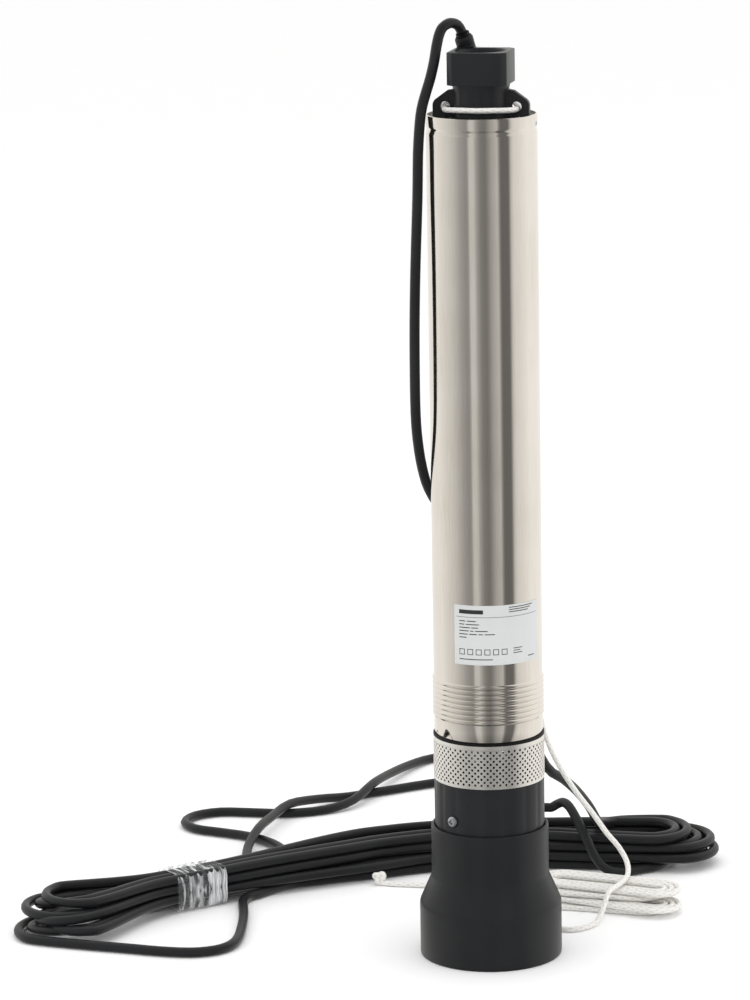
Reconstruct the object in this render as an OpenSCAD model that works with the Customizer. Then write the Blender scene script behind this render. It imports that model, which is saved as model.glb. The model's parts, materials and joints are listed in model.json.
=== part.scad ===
// Borehole submersible pump with its mains lead and lifting rope
// Units are millimetres, +Z is up, the front is -Y and the foot stands on z = 0

/* [Foot and base] */
// Outside diameter of the foot where it stands
foot_d = 126; // [118:1:134]
// Height of the straight skirt of the foot
skirt_h = 48; // [40:1:56]
// Height of the cone between skirt and collar
cone_h = 25; // [20:1:32]
// Height of the collar that grips the bottom cap
collar_h = 46; // [40:1:54]
// Outside diameter of the collar
collar_d = 104; // [103:1:108]
// Wall thickness of the foot
foot_wall = 4; // [3:0.5:5]
// Height of the bottom cap that shows above the collar
cap_show = 43; // [40:1:50]

/* [Casing] */
// Outside diameter of the steel outer sleeve
sleeve_d = 96; // [94:1:100]
// Wall thickness of the outer sleeve
sleeve_wall = 1.5; // [1.2:0.1:2]
// Length of the outer sleeve
sleeve_len = 546; // [535:1:600]
// Height of the strainer band
strainer_h = 39; // [34:1:44]
// Diameter of one strainer hole
strainer_hole = 1.8; // [1.4:0.1:2.2]
// Height of one rolled bead of the sleeve
bead_pitch = 4.5; // [4:0.1:5]

/* [Pump stages] */
// Height of one stage
stage_h = 24; // [22:1:28]
// Outside diameter of an impeller
impeller_d = 74; // [66:1:78]

/* [Motor] */
// Diameter of the motor shaft
shaft_d = 15; // [14:0.5:16]
// Outside diameter of the motor can
can_d = 80; // [78:1:82]
// Length of the stator and rotor cores
core_len = 130; // [100:1:145]

/* [Discharge head] */
// Width across the flats of the outlet boss
boss_af = 52; // [50:1:54]
// Height of the outlet boss
boss_h = 28; // [24:1:32]
// Bore of the outlet thread
outlet_d = 39; // [37:0.5:40]
// Diameter of a rope hole in an ear
ear_hole_d = 9; // [7:0.5:10]
// Lift of the check valve
valve_travel = 8; // [5:0.5:9]

/* [Lead and rope] */
// Diameter of the mains cable
cable_d = 9; // [8:0.5:9]
// Diameter of the lifting rope
rope_d = 5; // [4:0.5:5.5]
// Height of the tied cable hank
hank_h = 37; // [37:1:42]

/* [Hidden] */
$fn = 64;
stages = 5;

// Clearances
fit_gap = 0.1;
run_gap = 0.05;

// Levels from the floor up
foot_h = skirt_h + cone_h + collar_h;
ledge_z = foot_h - 27;
cap_top = foot_h + cap_show;
screw_z = foot_h + 11;
screw_angles = [-43, 137];
sump_z = cap_top - 12;
strainer_top = cap_top + strainer_h;
gasket_t = 2;
sleeve_z = strainer_top + gasket_t;
sleeve_top = sleeve_z + sleeve_len;
stage_z = sleeve_z + 3;
stack_top = stage_z + stages * stage_h;
can_z = stack_top + 24;
lower_bearing_z = can_z + 7;
core_z = can_z + 80;
core_top = core_z + core_len;
upper_bracket_z = core_top + 38;
roof_z = sleeve_top - 14;
can_top = upper_bracket_z + (roof_z - upper_bracket_z) * 92 / 137;
motor_top = can_top + 6;
seat_z = roof_z + 5;
deck_z = sleeve_top - 2;
boss_z = sleeve_top + 26;
boss_top = boss_z + boss_h;
hole_z = deck_z + 8;
cage_z = seat_z + valve_travel + 14;

// Radii
sleeve_r = sleeve_d / 2;
bore_r = sleeve_r - sleeve_wall;
stack_r = bore_r - 0.3;
cap_r = sleeve_r + 0.6;
cap_wall = 3.2;
cap_bore_r = cap_r - cap_wall;
spigot_r = collar_d / 2 - 3.4;
strainer_r = sleeve_r + 1;
strainer_wall = 0.8;
shaft_r = shaft_d / 2;
stub_r = shaft_r - 1.5;
impeller_r = impeller_d / 2;
eye_r = 15.5;
eye_rim_r = 18.2;
blade_pivot = [8, -19];
can_r = can_d / 2;
can_bore_r = can_r - 1.5;
plug_r = can_bore_r - fit_gap;
rotor_r = 20.8;
air_gap = 0.35;
winding_in_r = 23.5;
winding_r = 36;
overhang = 26;
slot_in_r = 24;
slot_depth = 9;
slot_w = 3.2;
bracket_h = 17;
capacitor_r = 17.5;

// Rolling bearings
bearing_r = 17.5;
bearing_w = 11;
ball_r = 3;
ball_pitch_r = 12.5;
balls = 8;

// Head
head_turn = -12;
head_r = bore_r - fit_gap;
neck_r = 23.5;
mouth_r = outlet_d / 2 + 2.5;
ear_x = 31;
gland_at = [-10, 29];
gland_lean = -140;
gland_tilt = 20;
gland_r = 8;
nut_from = 9;
grommet_len = 19;
gland_z = boss_top - 5;
duct_r = 6.2;
cable_r = cable_d / 2;
lead_bore_r = cable_r + 0.2;
gland_axis = [sin(gland_tilt) * cos(gland_lean), sin(gland_tilt) * sin(gland_lean), cos(gland_tilt)];
gland_tip = [gland_at[0], gland_at[1], gland_z] + grommet_len * gland_axis;

// Cable hank on the floor: a bent bar between these centres, with these half widths
hank_points = [[-390, 72], [-272, 152], [-110, 247], [0, 274], [186, 266]];
hank_halves = [45, 21, 38, 38, 51];
tape_len = 52;
tape_half = 19.3;
tape_t = 0.5;

// Rope hank beside the foot
rope_hank_points = [[58, 150], [158, 112]];
rope_hank_halves = [34, 33];
rope_hank_h = 21;

// Mains plug lying on the hank behind the pump
plug_body_r = 19;
plug_at = [9, 262, hank_h + plug_body_r + 0.2];
plug_pin_r = 2.4;
plug_pin_pitch = 19;

// Route of the cable from the gland down the left side and behind the sleeve to the hank
floor_z = cable_r + 0.1;
gland_top = gland_tip[2];
cable_points = [
    gland_tip,
    [-18.9, 21.5, gland_top + 6.7],
    [-25, 16.3, gland_top + 9.2],
    [-31.2, 11.2, gland_top + 6.7],
    [-34.8, 8.2, gland_top + 1.1],
    [-37.5, 4.3, gland_top - 9],
    [-39.9, 0, gland_top - 22],
    [-43.5, -4.5, gland_top - 36],
    [-47.5, -8, gland_top - 48],
    [-51, -10.5, gland_top - 60],
    [-53, -12, gland_top - 73],
    [-54.9, -12, gland_top - 99],
    [-56, -11, gland_top - 138],
    [-58.5, -10.5, gland_top * 0.76],
    [-60, -9.5, gland_top * 0.7],
    [-60.5, -8.5, gland_top * 0.645],
    [-60.3, -6.5, gland_top * 0.6],
    [-58.8, -2.5, gland_top * 0.57],
    [-55.3, 6.5, gland_top * 0.539],
    [-49.5, 21, gland_top * 0.511],
    [-38.5, 38.5, gland_top * 0.484],
    [-23, 57, gland_top * 0.451],
    [-5, 76, gland_top * 0.405],
    [10, 88, gland_top * 0.35],
    [22, 96, gland_top * 0.286],
    [35, 105, gland_top * 0.225],
    [55, 118, 137],
    [72, 138, 118.5],
    [85, 160, 101],
    [97, 184, 80],
    [104, 205, hank_h + 26],
    [107, 224, hank_h + 16.5],
    [109, 244, hank_h + 9],
    [111, 262, hank_h + 4.7],
    [116, 279, hank_h - 1],
    [126, 292, hank_h - 4],
    [140, 299, hank_h - 5]
];

// Strand that slipped out in front of the tape
slack_points = [
    [-211, 169, floor_z],
    [-221.3, 159, floor_z],
    [-225.5, 145.3, floor_z],
    [-225, 130, floor_z],
    [-224, 110, floor_z],
    [-224, 86, floor_z],
    [-225, 60, floor_z],
    [-227, 36, floor_z],
    [-233, 14, floor_z],
    [-247, 0, floor_z],
    [-268, -5, floor_z],
    [-295, 0, floor_z],
    [-325, 10, floor_z],
    [-362, 22, floor_z],
    [-400, 35.5, floor_z]
];

// Loose turn of the cable that lies on the floor behind the hank
cross_z = floor_z + cable_d + 0.6;
loop_points = [
    [-247.6, 180.7, floor_z],
    [-236, 189, floor_z],
    [-229, 203, floor_z],
    [-226, 230, floor_z],
    [-226, 270, floor_z],
    [-225, 312, floor_z + 3.4],
    [-216, 352, cross_z],
    [-203, 398, cross_z - 1],
    [-187, 437, cross_z],
    [-160, 471, floor_z + 4.4],
    [-128, 494, floor_z],
    [-88, 515, floor_z],
    [-46, 537, floor_z],
    [0, 556, floor_z],
    [36, 577, floor_z],
    [48, 607, floor_z],
    [32, 634, floor_z],
    [-6, 646, floor_z],
    [-42, 634, floor_z],
    [-66, 602, floor_z + 2],
    [-88, 553, floor_z + 6],
    [-104, 506, cross_z],
    [-124, 468, floor_z + 3.4],
    [-152, 447, floor_z],
    [-190, 437, floor_z],
    [-225, 442, floor_z],
    [-256, 446, floor_z],
    [-281, 434, floor_z],
    [-290, 411, floor_z],
    [-279, 388, floor_z],
    [-254, 374, floor_z],
    [-226, 358, floor_z],
    [-203, 334, floor_z],
    [-189, 304, floor_z],
    [-181, 282, floor_z],
    [-172, 265, floor_z],
    [-158, 256, floor_z],
    [-141, 259, floor_z],
    [-122, 268, floor_z]
];

// Last stretch of the cable from the hank up to the plug
lead_points = [
    [59.2, 262, plug_at[2]],
    [62.5, 262, plug_at[2]],
    [66, 262, plug_at[2]],
    [72, 260, plug_at[2] + 4],
    [77, 254, plug_at[2] + 7],
    [82, 246, plug_at[2] + 5],
    [87, 238, plug_at[2] - 2],
    [92, 231, plug_at[2] - 11],
    [98, 224, 33],
    [104, 218, 21],
    [112, 214, 11],
    [122, 213.5, floor_z + 1.5],
    [134, 217.5, floor_z],
    [146, 224, floor_z]
];

// Route of the rope through both ears, over the rim, down the back and along the floor
rope_floor = rope_d / 2 + 0.1;
rope_z = hole_z - (ear_hole_d - rope_d) / 2 + 0.3;
rope_points = [
    [-27.8, 18.2, rope_z],
    [-29.3, 11.3, rope_z],
    [-30.3, 6.4, rope_z],
    [-31.4, 1.6, rope_z],
    [-30.9, -5.7, rope_z],
    [-26.7, -14.8, rope_z + 0.5],
    [-17.3, -23.4, rope_z + 1],
    [-5.9, -28.3, rope_z + 1],
    [6.2, -28.8, rope_z + 1],
    [18.3, -24.3, rope_z + 0.5],
    [25.9, -17.8, rope_z],
    [29.3, -11.3, rope_z],
    [30.3, -6.4, rope_z],
    [31.4, -1.6, rope_z],
    [32.3, 7.5, rope_z],
    [31.8, 19.8, rope_z],
    [30, 31, rope_z + 1],
    [28, 39.5, rope_z + 2.5],
    [26.6, 46, rope_z - 2],
    [26, 48, rope_z - 12],
    [25, 47.5, rope_z - 35],
    [24, 47, rope_z - 75],
    [24, 47, 640],
    [24.5, 47, 560],
    [26, 47, 480],
    [28, 47, 400],
    [32, 49, 330],
    [38, 54, 265],
    [46, 63, 212],
    [54, 73, 175],
    [66, 88, 145],
    [82, 106, 115],
    [98, 130, 88],
    [112, 154, 62],
    [124, 168, 44],
    [131, 160, 32],
    [131, 143, rope_hank_h + 4.5],
    [126, 126, rope_hank_h + 3],
    [118, 108, rope_hank_h + 3],
    [110, 92, rope_hank_h + 2.6],
    [104, 78, 12],
    [98, 67, 4],
    [90, 57, rope_floor],
    [80, 50, rope_floor],
    [70, 49, rope_floor],
    [58, 56, rope_floor],
    [47, 68, rope_floor],
    [39, 84, rope_floor],
    [34, 104, rope_floor],
    [31, 125, rope_floor],
    [33, 146, rope_floor]
];
// Free end of the rope, from the hank's left end along the floor behind the foot
rope_tail_points = [
    [41, 145, 15],
    [24, 156, 8],
    [6, 168, rope_floor + 1],
    [-16, 180, rope_floor],
    [-42, 189, rope_floor],
    [-68, 195, rope_floor],
    [-88, 199, rope_floor],
    [-99, 204, rope_floor]
];

// Smooth tube along a list of points
function unit(v) = v / norm(v);
function reach(p, i) =
    i < 0 ? 2 * p[0] - p[1] : i >= len(p) ? 2 * p[len(p) - 1] - p[len(p) - 2] : p[i];
function between(a, b, c, d, t) =
    0.5 * (2 * b + t * (c - a) + t * t * (2 * a - 5 * b + 4 * c - d) + t * t * t * (3 * b - a - 3 * c + d));
function smooth(p, steps) = concat(
    [for (i = [0 : len(p) - 2]) for (s = [0 : steps - 1])
        between(reach(p, i - 1), p[i], p[i + 1], reach(p, i + 2), s / steps)],
    [p[len(p) - 1]]
);
function heading(p) = [for (i = [0 : len(p) - 1]) unit(reach(p, i + 1) - reach(p, i - 1))];
function carried(t, u, i = 0) =
    i == len(t) ? [] : let (v = unit(u - t[i] * (u * t[i]))) concat([v], carried(t, v, i + 1));
function rings(p, r, sides) =
    let (t = heading(p), u = carried(t, [0.6, -0.7, 0.4]))
    [for (i = [0 : len(p) - 1]) let (w = cross(t[i], u[i])) for (k = [0 : sides - 1])
        p[i] + r * (cos(360 * k / sides) * u[i] + sin(360 * k / sides) * w)];

module tube(points, r, sides, steps) {
    p = smooth(points, steps);
    last = len(p) - 1;
    polyhedron(
        points = rings(p, r, sides),
        faces = concat(
            [[for (k = [0 : sides - 1]) k]],
            [for (i = [0 : last - 1]) for (k = [0 : sides - 1])
                [i * sides + k, (i + 1) * sides + k,
                    (i + 1) * sides + (k + 1) % sides, i * sides + (k + 1) % sides]],
            [[for (k = [sides - 1 : -1 : 0]) last * sides + k]]
        )
    );
}

// A ring between two radii and two levels
module ring(r_in, r_out, z0, z1) {
    rotate_extrude()
        translate([r_in, z0])
            square([r_out - r_in, z1 - z0]);
}

// A round ring of the given section radius
module o_ring(r, section, z) {
    rotate_extrude()
        translate([r, z])
            circle(r = section);
}

// Places its children on the leaning axis of the cable gland
module at_gland() {
    translate([gland_at[0], gland_at[1], gland_z])
        rotate([0, 0, gland_lean])
            rotate([0, gland_tilt, 0])
                children();
}

// A radial screw axis at an angle from the front, at a level
module at_side(angle, z) {
    rotate([0, 0, angle - 90])
        translate([0, 0, z])
            rotate([0, 90, 0])
                children();
}

// A flat bar outline with round ends between centres of given half widths
function turned(t, a) = [cos(a) * t[0] - sin(a) * t[1], cos(a) * t[1] + sin(a) * t[0]];
function bar_end(p, r, t, from) = [for (k = [0 : 8]) p + r * turned(t, from + 22.5 * k)];

module bar_outline(points, halves) {
    p = smooth(points, 4);
    half = smooth(halves, 4);
    t = heading(p);
    last = len(p) - 1;
    polygon(concat(
        bar_end(p[0], half[0], t[0], 90),
        [for (i = [1 : last - 1]) p[i] + half[i] * turned(t[i], -90)],
        bar_end(p[last], half[last], t[last], -90),
        [for (i = [last - 1 : -1 : 1]) p[i] + half[i] * turned(t[i], 90)]
    ));
}

module foot() {
    color("#2c2d2f")
        difference() {
            rotate_extrude()
                polygon([
                    [0, 1.5], [foot_d / 2 - 14, 1.5], [foot_d / 2 - 12.5, 0], [foot_d / 2 - 1, 0],
                    [foot_d / 2, 1], [foot_d / 2, skirt_h], [collar_d / 2, skirt_h + cone_h],
                    [collar_d / 2, foot_h - 1], [collar_d / 2 - 1, foot_h], [spigot_r + 0.3, foot_h],
                    [spigot_r + 0.3, ledge_z], [spigot_r - cap_wall - 2, ledge_z],
                    [spigot_r - cap_wall - 2, ledge_z - 6],
                    [collar_d / 2 - foot_wall, ledge_z - 13], [collar_d / 2 - foot_wall, skirt_h + cone_h - 1],
                    [foot_d / 2 - foot_wall, skirt_h - 1], [foot_d / 2 - foot_wall, 6], [0, 6]
                ]);
            for (a = [45 : 90 : 315])
                rotate([0, 0, a])
                    translate([38, 0, 0])
                        cylinder(r = 3, h = 10);
        }
}

module bottom_cap() {
    color("#17181a")
        difference() {
            rotate_extrude()
                polygon([
                    [spigot_r - cap_wall, ledge_z], [spigot_r - 1, ledge_z], [spigot_r, ledge_z + 1],
                    [spigot_r, foot_h], [cap_r, foot_h + 1], [cap_r, cap_top], [cap_bore_r, cap_top],
                    [cap_bore_r, foot_h - 2], [spigot_r - cap_wall, foot_h - 4]
                ]);
            for (a = screw_angles)
                at_side(a, screw_z)
                    translate([0, 0, 30])
                        cylinder(r = 2.7, h = 40);
        }
}

module cap_screws() {
    color("#b9bbbd")
        for (a = screw_angles)
            at_side(a, screw_z) {
                translate([0, 0, cap_bore_r - 9])
                    cylinder(r = 2.5, h = 9 + cap_r - cap_bore_r + 1);
                difference() {
                    translate([0, 0, cap_r + 0.05])
                        cylinder(r1 = 5, r2 = 4.2, h = 2.8);
                    translate([0, 0, cap_r + 1.2])
                        cylinder(r = 2.4, h = 3, $fn = 6);
                }
            }
}

module strainer() {
    rows = 5;
    columns = 30;
    pitch = strainer_h / (rows + 1);
    color("#c9c9c7")
        difference() {
            ring(strainer_r - strainer_wall, strainer_r, cap_top, strainer_top);
            for (row = [1 : rows])
                translate([0, 0, cap_top + row * pitch - strainer_hole / 2])
                    linear_extrude(strainer_hole)
                        for (i = [0 : columns / 2 - 1])
                            rotate((i + row % 2 / 2) * 360 / columns)
                                square([3 * strainer_r, strainer_hole], center = true);
        }
}

module intake_housing() {
    color("#222326") {
        difference() {
            ring(0, cap_bore_r - 0.2, screw_z - 11, cap_top);
            translate([0, 0, screw_z - 12])
                cylinder(r = cap_bore_r - 4.4, h = sump_z - screw_z + 12);
            translate([0, 0, sump_z + 4])
                cylinder(r = cap_bore_r - 4.4, h = 20);
            for (a = screw_angles)
                at_side(a, screw_z)
                    translate([0, 0, 20])
                        cylinder(r = 2.6, h = 40);
        }
        for (i = [0 : 5])
            rotate([0, 0, 60 * i])
                translate([cap_bore_r - 4.2, -4, cap_top - 1])
                    cube([3.8, 8, strainer_h]);
        ring(20, stack_r, strainer_top - 3, stage_z);
        ring(12 + fit_gap, 15, strainer_top - 3, stage_z);
        for (i = [0 : 2])
            rotate([0, 0, 120 * i])
                translate([13, -2, strainer_top - 3])
                    cube([9, 4, 6]);
    }
}

module intake_bush() {
    color("#8a6f46")
        ring(9 + run_gap, 12, strainer_top - 4, stage_z);
}

module sleeve_gasket() {
    color("#101011")
        ring(bore_r - 0.1, strainer_r, strainer_top, sleeve_z);
}

module outer_sleeve() {
    color("#c4c1bb")
        difference() {
            rotate_extrude()
                difference() {
                    union() {
                        translate([bore_r, sleeve_z])
                            square([sleeve_wall, sleeve_len]);
                        for (i = [0 : 7])
                            translate([sleeve_r - 0.5, sleeve_z + 18.5 + i * bead_pitch])
                                circle(r = 1.6);
                    }
                    translate([0, sleeve_z])
                        square([bore_r, sleeve_len]);
                    translate([sleeve_r + 3.2, sleeve_top - 12.5])
                        circle(r = 4);
                }
            for (a = [75, -105])
                at_side(a, sleeve_top - 8)
                    translate([0, 0, 30])
                        cylinder(r = 2.2, h = 30);
        }
}

module rating_label() {
    color("#e4e4e2")
        rotate([0, 0, -128])
            rotate_extrude(angle = 100)
                translate([sleeve_r + fit_gap, sleeve_z + 71])
                    square([0.2, 53]);
}

module stage_casing(i) {
    z0 = stage_z + (i - 1) * stage_h;
    color("#3a3d42") {
        ring(stack_r - 2.7, stack_r, z0, z0 + stage_h);
        ring(18.6, stack_r - 1, z0, z0 + 3);
        ring(10.6, stack_r - 8, z0 + 17, z0 + 18.5);
        for (k = [0 : 7])
            rotate([0, 0, 45 * k])
                translate([14, -4, z0 + 18.3])
                    rotate([0, 0, 12])
                        cube([stack_r - 15.5, 2, stage_h - 18.3]);
    }
}

module impeller_blade(t) {
    intersection() {
        difference() {
            translate(blade_pivot)
                circle(r = norm(blade_pivot - [11, 0]) + t / 2);
            translate(blade_pivot)
                circle(r = norm(blade_pivot - [11, 0]) - t / 2);
        }
        difference() {
            circle(r = impeller_r - 0.5);
            circle(r = 9.5);
        }
        rotate(atan2(blade_pivot[1], blade_pivot[0]))
            square(2 * impeller_r);
    }
}

module impeller(i) {
    z0 = stage_z + (i - 1) * stage_h;
    color("#4a5a6a") {
        ring(eye_r, eye_rim_r, z0, z0 + 5);
        ring(eye_r, impeller_r, z0 + 4, z0 + 5.5);
        ring(shaft_r + run_gap, 10.4, z0 + 2, z0 + 15.5);
        ring(10, impeller_r, z0 + 12, z0 + 13.5);
        translate([0, 0, z0 + 5.2])
            linear_extrude(7)
                for (k = [0 : 5])
                    rotate(60 * k)
                        impeller_blade(1.6);
    }
}

module impeller_spacers() {
    color("#9c9ea1") {
        ring(stub_r + run_gap, 9, stage_z - 10, stage_z + 2);
        for (i = [1 : stages - 1])
            ring(shaft_r + run_gap, 10, stage_z + (i - 1) * stage_h + 15.5, stage_z + i * stage_h + 2);
    }
}

module shaft_nut() {
    color("#a9abad")
        difference() {
            translate([0, 0, stage_z - 18])
                cylinder(r = 11, h = 8, $fn = 6);
            translate([0, 0, stage_z - 19])
                cylinder(r = stub_r + run_gap, h = 10);
        }
}

module motor_shaft() {
    color("#b0b2b4") {
        translate([0, 0, stage_z - 21])
            cylinder(r = stub_r, h = 30);
        translate([0, 0, stage_z + 2])
            cylinder(r = shaft_r, h = upper_bracket_z + 12 - stage_z - 2);
    }
}

module rotor_core() {
    color("#7d8084")
        ring(shaft_r + run_gap, rotor_r, core_z - 6, core_top + 6);
}

module stator_core() {
    color("#6e7276")
        difference() {
            ring(rotor_r + air_gap, plug_r, core_z, core_top);
            for (k = [0 : 23])
                rotate([0, 0, 15 * k])
                    translate([slot_in_r, -slot_w / 2, core_z - 1])
                        cube([slot_depth, slot_w, core_len + 2]);
        }
}

module stator_windings() {
    color("#a8642c") {
        ring(winding_in_r, winding_r, core_z - overhang, core_z - 0.2);
        ring(winding_in_r, winding_r, core_top + 0.2, core_top + overhang);
        for (k = [0 : 23])
            rotate([0, 0, 15 * k])
                translate([slot_in_r + 0.2, 0.2 - slot_w / 2, core_z - 1])
                    cube([slot_depth - 0.4, slot_w - 0.4, core_len + 2]);
    }
}

module motor_can() {
    color("#b7b6b2")
        ring(can_bore_r, can_r, can_z, can_top);
}

module motor_lower_bracket() {
    color("#55585c")
        difference() {
            union() {
                ring(0, 24, stack_top, can_z);
                ring(0, can_r, can_z - 4, can_z);
                ring(0, plug_r, can_z - 1, can_z + 18);
                ring(stack_r - 2.7, stack_r, stack_top, stack_top + 6);
                for (k = [0 : 5])
                    rotate([0, 0, 60 * k])
                        translate([20, -2.5, stack_top])
                            cube([stack_r - 21, 5, 6]);
            }
            translate([0, 0, stack_top - 1])
                cylinder(r = 16, h = 19);
            translate([0, 0, stack_top])
                cylinder(r = shaft_r + 0.6, h = 60);
            translate([0, 0, lower_bearing_z])
                cylinder(r = bearing_r, h = 30);
            ring(plug_r - 2.3, plug_r + 1, can_z + 8.7, can_z + 11.3);
        }
}

module motor_upper_bracket() {
    color("#55585c")
        difference() {
            ring(0, plug_r, upper_bracket_z, upper_bracket_z + bracket_h);
            translate([0, 0, upper_bracket_z - 1])
                cylinder(r = bearing_r, h = bearing_w + 1);
            translate([0, 0, upper_bracket_z])
                cylinder(r = shaft_r + 1.5, h = bracket_h - 3);
            translate([gland_at[0], gland_at[1], upper_bracket_z - 1])
                cylinder(r = 4, h = 20);
        }
}

module motor_top_cap() {
    color("#5b5e62")
        difference() {
            union() {
                ring(0, plug_r, can_top - 7, can_top + 1);
                ring(0, can_r, can_top, motor_top);
                translate([gland_at[0], gland_at[1], can_top])
                    cylinder(r = duct_r + 2, h = 12);
            }
            translate([gland_at[0], gland_at[1], can_top - 8])
                cylinder(r = lead_bore_r, h = 30);
            translate([gland_at[0], gland_at[1], can_top + 2])
                cylinder(r = duct_r + 0.15, h = 20);
            ring(plug_r - 2.3, plug_r + 1, can_top - 4.8, can_top - 2.2);
        }
}

module can_o_rings() {
    color("#141414") {
        o_ring(plug_r - 1.15, 1.1, can_z + 10);
        o_ring(plug_r - 1.15, 1.1, can_top - 3.5);
    }
}

module bearing_outer(z) {
    color("#c2c4c6")
        difference() {
            ring(ball_pitch_r + 2.4, bearing_r - run_gap, z, z + bearing_w);
            o_ring(ball_pitch_r, ball_r + run_gap, z + bearing_w / 2);
        }
}

module bearing_inner(z) {
    color("#c2c4c6")
        difference() {
            ring(shaft_r + run_gap, ball_pitch_r - 2.4, z, z + bearing_w);
            o_ring(ball_pitch_r, ball_r + run_gap, z + bearing_w / 2);
        }
}

module bearing_balls(z) {
    color("#d3d5d7") {
        ring(ball_pitch_r - 0.6, ball_pitch_r + 0.6, z + bearing_w / 2 - 1.5, z + bearing_w / 2 + 1.5);
        for (k = [0 : balls - 1])
            rotate([0, 0, 360 / balls * k])
                translate([ball_pitch_r, 0, z + bearing_w / 2])
                    sphere(r = ball_r);
    }
}

module seal_seat() {
    color("#d8d2c4")
        ring(shaft_r + 1.5, 16 - fit_gap, stack_top + 12, stack_top + 18);
}

module seal_head() {
    color("#3b3b3d") {
        ring(shaft_r + run_gap, 13.5, stack_top + 2, stack_top + 8);
        ring(shaft_r + run_gap, 12, stack_top + 7, stack_top + 12 - run_gap);
    }
}

module run_capacitor() {
    color("#d9d9d6")
        translate([10, -13, upper_bracket_z + bracket_h])
            cylinder(r = capacitor_r, h = can_top - upper_bracket_z - bracket_h - 15);
}

module motor_leads() {
    color("#3a4f8a")
        for (k = [0 : 2])
            translate([gland_at[0], gland_at[1], core_top + overhang])
                rotate([0, 0, 120 * k])
                    translate([1.8, 0, 0])
                        cylinder(r = 1.1, h = can_top - 14 - core_top - overhang);
}

module ear() {
    rotate([90, 0, 0])
        linear_extrude(8, center = true)
            difference() {
                polygon(concat(
                    [[18, deck_z - 3], [ear_x + 11, deck_z - 3]],
                    [for (a = [0 : 15 : 60]) [ear_x + 4 + 7 * cos(a), hole_z + 1 + 7 * sin(a)]],
                    [[ear_x - 2, deck_z + 22], [18, deck_z + 24]]
                ));
                translate([ear_x, hole_z])
                    circle(d = ear_hole_d);
            }
}

// Half section of the round body of the head
module head_section() {
    polygon([
        [0, roof_z], [head_r - 5.5, roof_z], [head_r - 5.5, roof_z - 23], [head_r, roof_z - 23],
        [head_r, roof_z - 11.7], [head_r - 3.2, roof_z - 11.7], [head_r - 3.2, roof_z - 8.3],
        [head_r, roof_z - 8.3], [head_r, deck_z], [neck_r, deck_z], [neck_r, boss_z - 7],
        [boss_af / 2 - 0.8, boss_z], [boss_af / 2 - 0.8, boss_z + 4], [0, boss_z + 4]
    ]);
}

// Half section of the waterway from the valve seat to the mouth
module waterway_section() {
    polygon([
        [0, roof_z - 1], [12.5, roof_z - 1], [12.5, seat_z], [17, seat_z], [17, cage_z], [18, cage_z],
        [18, boss_z], [outlet_d / 2, boss_z], [outlet_d / 2, boss_top - 4], [mouth_r, boss_top],
        [mouth_r, boss_top + 1], [0, boss_top + 1]
    ]);
}

module discharge_head() {
    color("#1d1e20")
        difference() {
            union() {
                rotate_extrude()
                    head_section();
                rotate([0, 0, head_turn]) {
                    translate([0, 0, boss_z])
                        linear_extrude(boss_h)
                            intersection() {
                                square(boss_af, center = true);
                                rotate(45)
                                    square((boss_af - 5.5) * sqrt(2), center = true);
                            }
                    ear();
                    mirror([1, 0, 0])
                        ear();
                }
                translate([gland_at[0], gland_at[1], roof_z + 2])
                    cylinder(r = gland_r + 1, h = gland_z - roof_z - 2);
                at_gland()
                    translate([0, 0, -6])
                        cylinder(r = gland_r, h = nut_from + 6);
                translate([gland_at[0], gland_at[1], can_top + 2])
                    cylinder(r = duct_r, h = roof_z - can_top);
                for (a = [20, 230, 310])
                    rotate([0, 0, a])
                        translate([32, 0, motor_top])
                            cylinder(r = 5, h = roof_z - motor_top + 1);
            }
            rotate_extrude()
                waterway_section();
            translate([gland_at[0], gland_at[1], can_top])
                cylinder(r = lead_bore_r, h = gland_z - can_top + 0.5);
            at_gland()
                translate([0, 0, -3])
                    cylinder(r = lead_bore_r + 0.1, h = 40);
            at_gland()
                translate([0, 0, 3])
                    cylinder(r = 6.6, h = 40);
            for (a = [75, -105])
                at_side(a, sleeve_top - 8)
                    translate([0, 0, 34])
                        cylinder(r = 2.05, h = 20);
        }
}

module head_o_ring() {
    color("#141414")
        o_ring(head_r - 1.6, 1.55, roof_z - 10);
}

module head_screws() {
    color("#8d8f91")
        for (a = [75, -105])
            at_side(a, sleeve_top - 8)
                difference() {
                    translate([0, 0, 35])
                        cylinder(r = 2, h = sleeve_r - 35);
                    translate([0, 0, sleeve_r - 1.5])
                        cylinder(r = 1.1, h = 3, $fn = 6);
                }
}

module gland_grommet() {
    color("#161617")
        at_gland()
            difference() {
                union() {
                    translate([0, 0, 3])
                        cylinder(r = 6.5, h = grommet_len - 8.5);
                    translate([0, 0, grommet_len - 5.5])
                        cylinder(r1 = 6.5, r2 = cable_r + 1.4, h = 5.5);
                }
                cylinder(r = lead_bore_r, h = 40);
            }
}

module gland_nut() {
    color("#1b1c1e")
        at_gland()
            difference() {
                union() {
                    translate([0, 0, nut_from])
                        cylinder(r = gland_r, h = 5);
                    translate([0, 0, nut_from + 5])
                        cylinder(r1 = gland_r, r2 = gland_r - 1.2, h = 2);
                }
                translate([0, 0, nut_from - 1])
                    cylinder(r = 6.6, h = 10);
            }
}

module cable_tail() {
    color("#232426") {
        translate([gland_at[0], gland_at[1], can_top - 14])
            cylinder(r = cable_r, h = gland_z - can_top + 14);
        at_gland()
            translate([0, 0, -2])
                cylinder(r = cable_r - 0.1, h = grommet_len - 1);
    }
}

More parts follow.
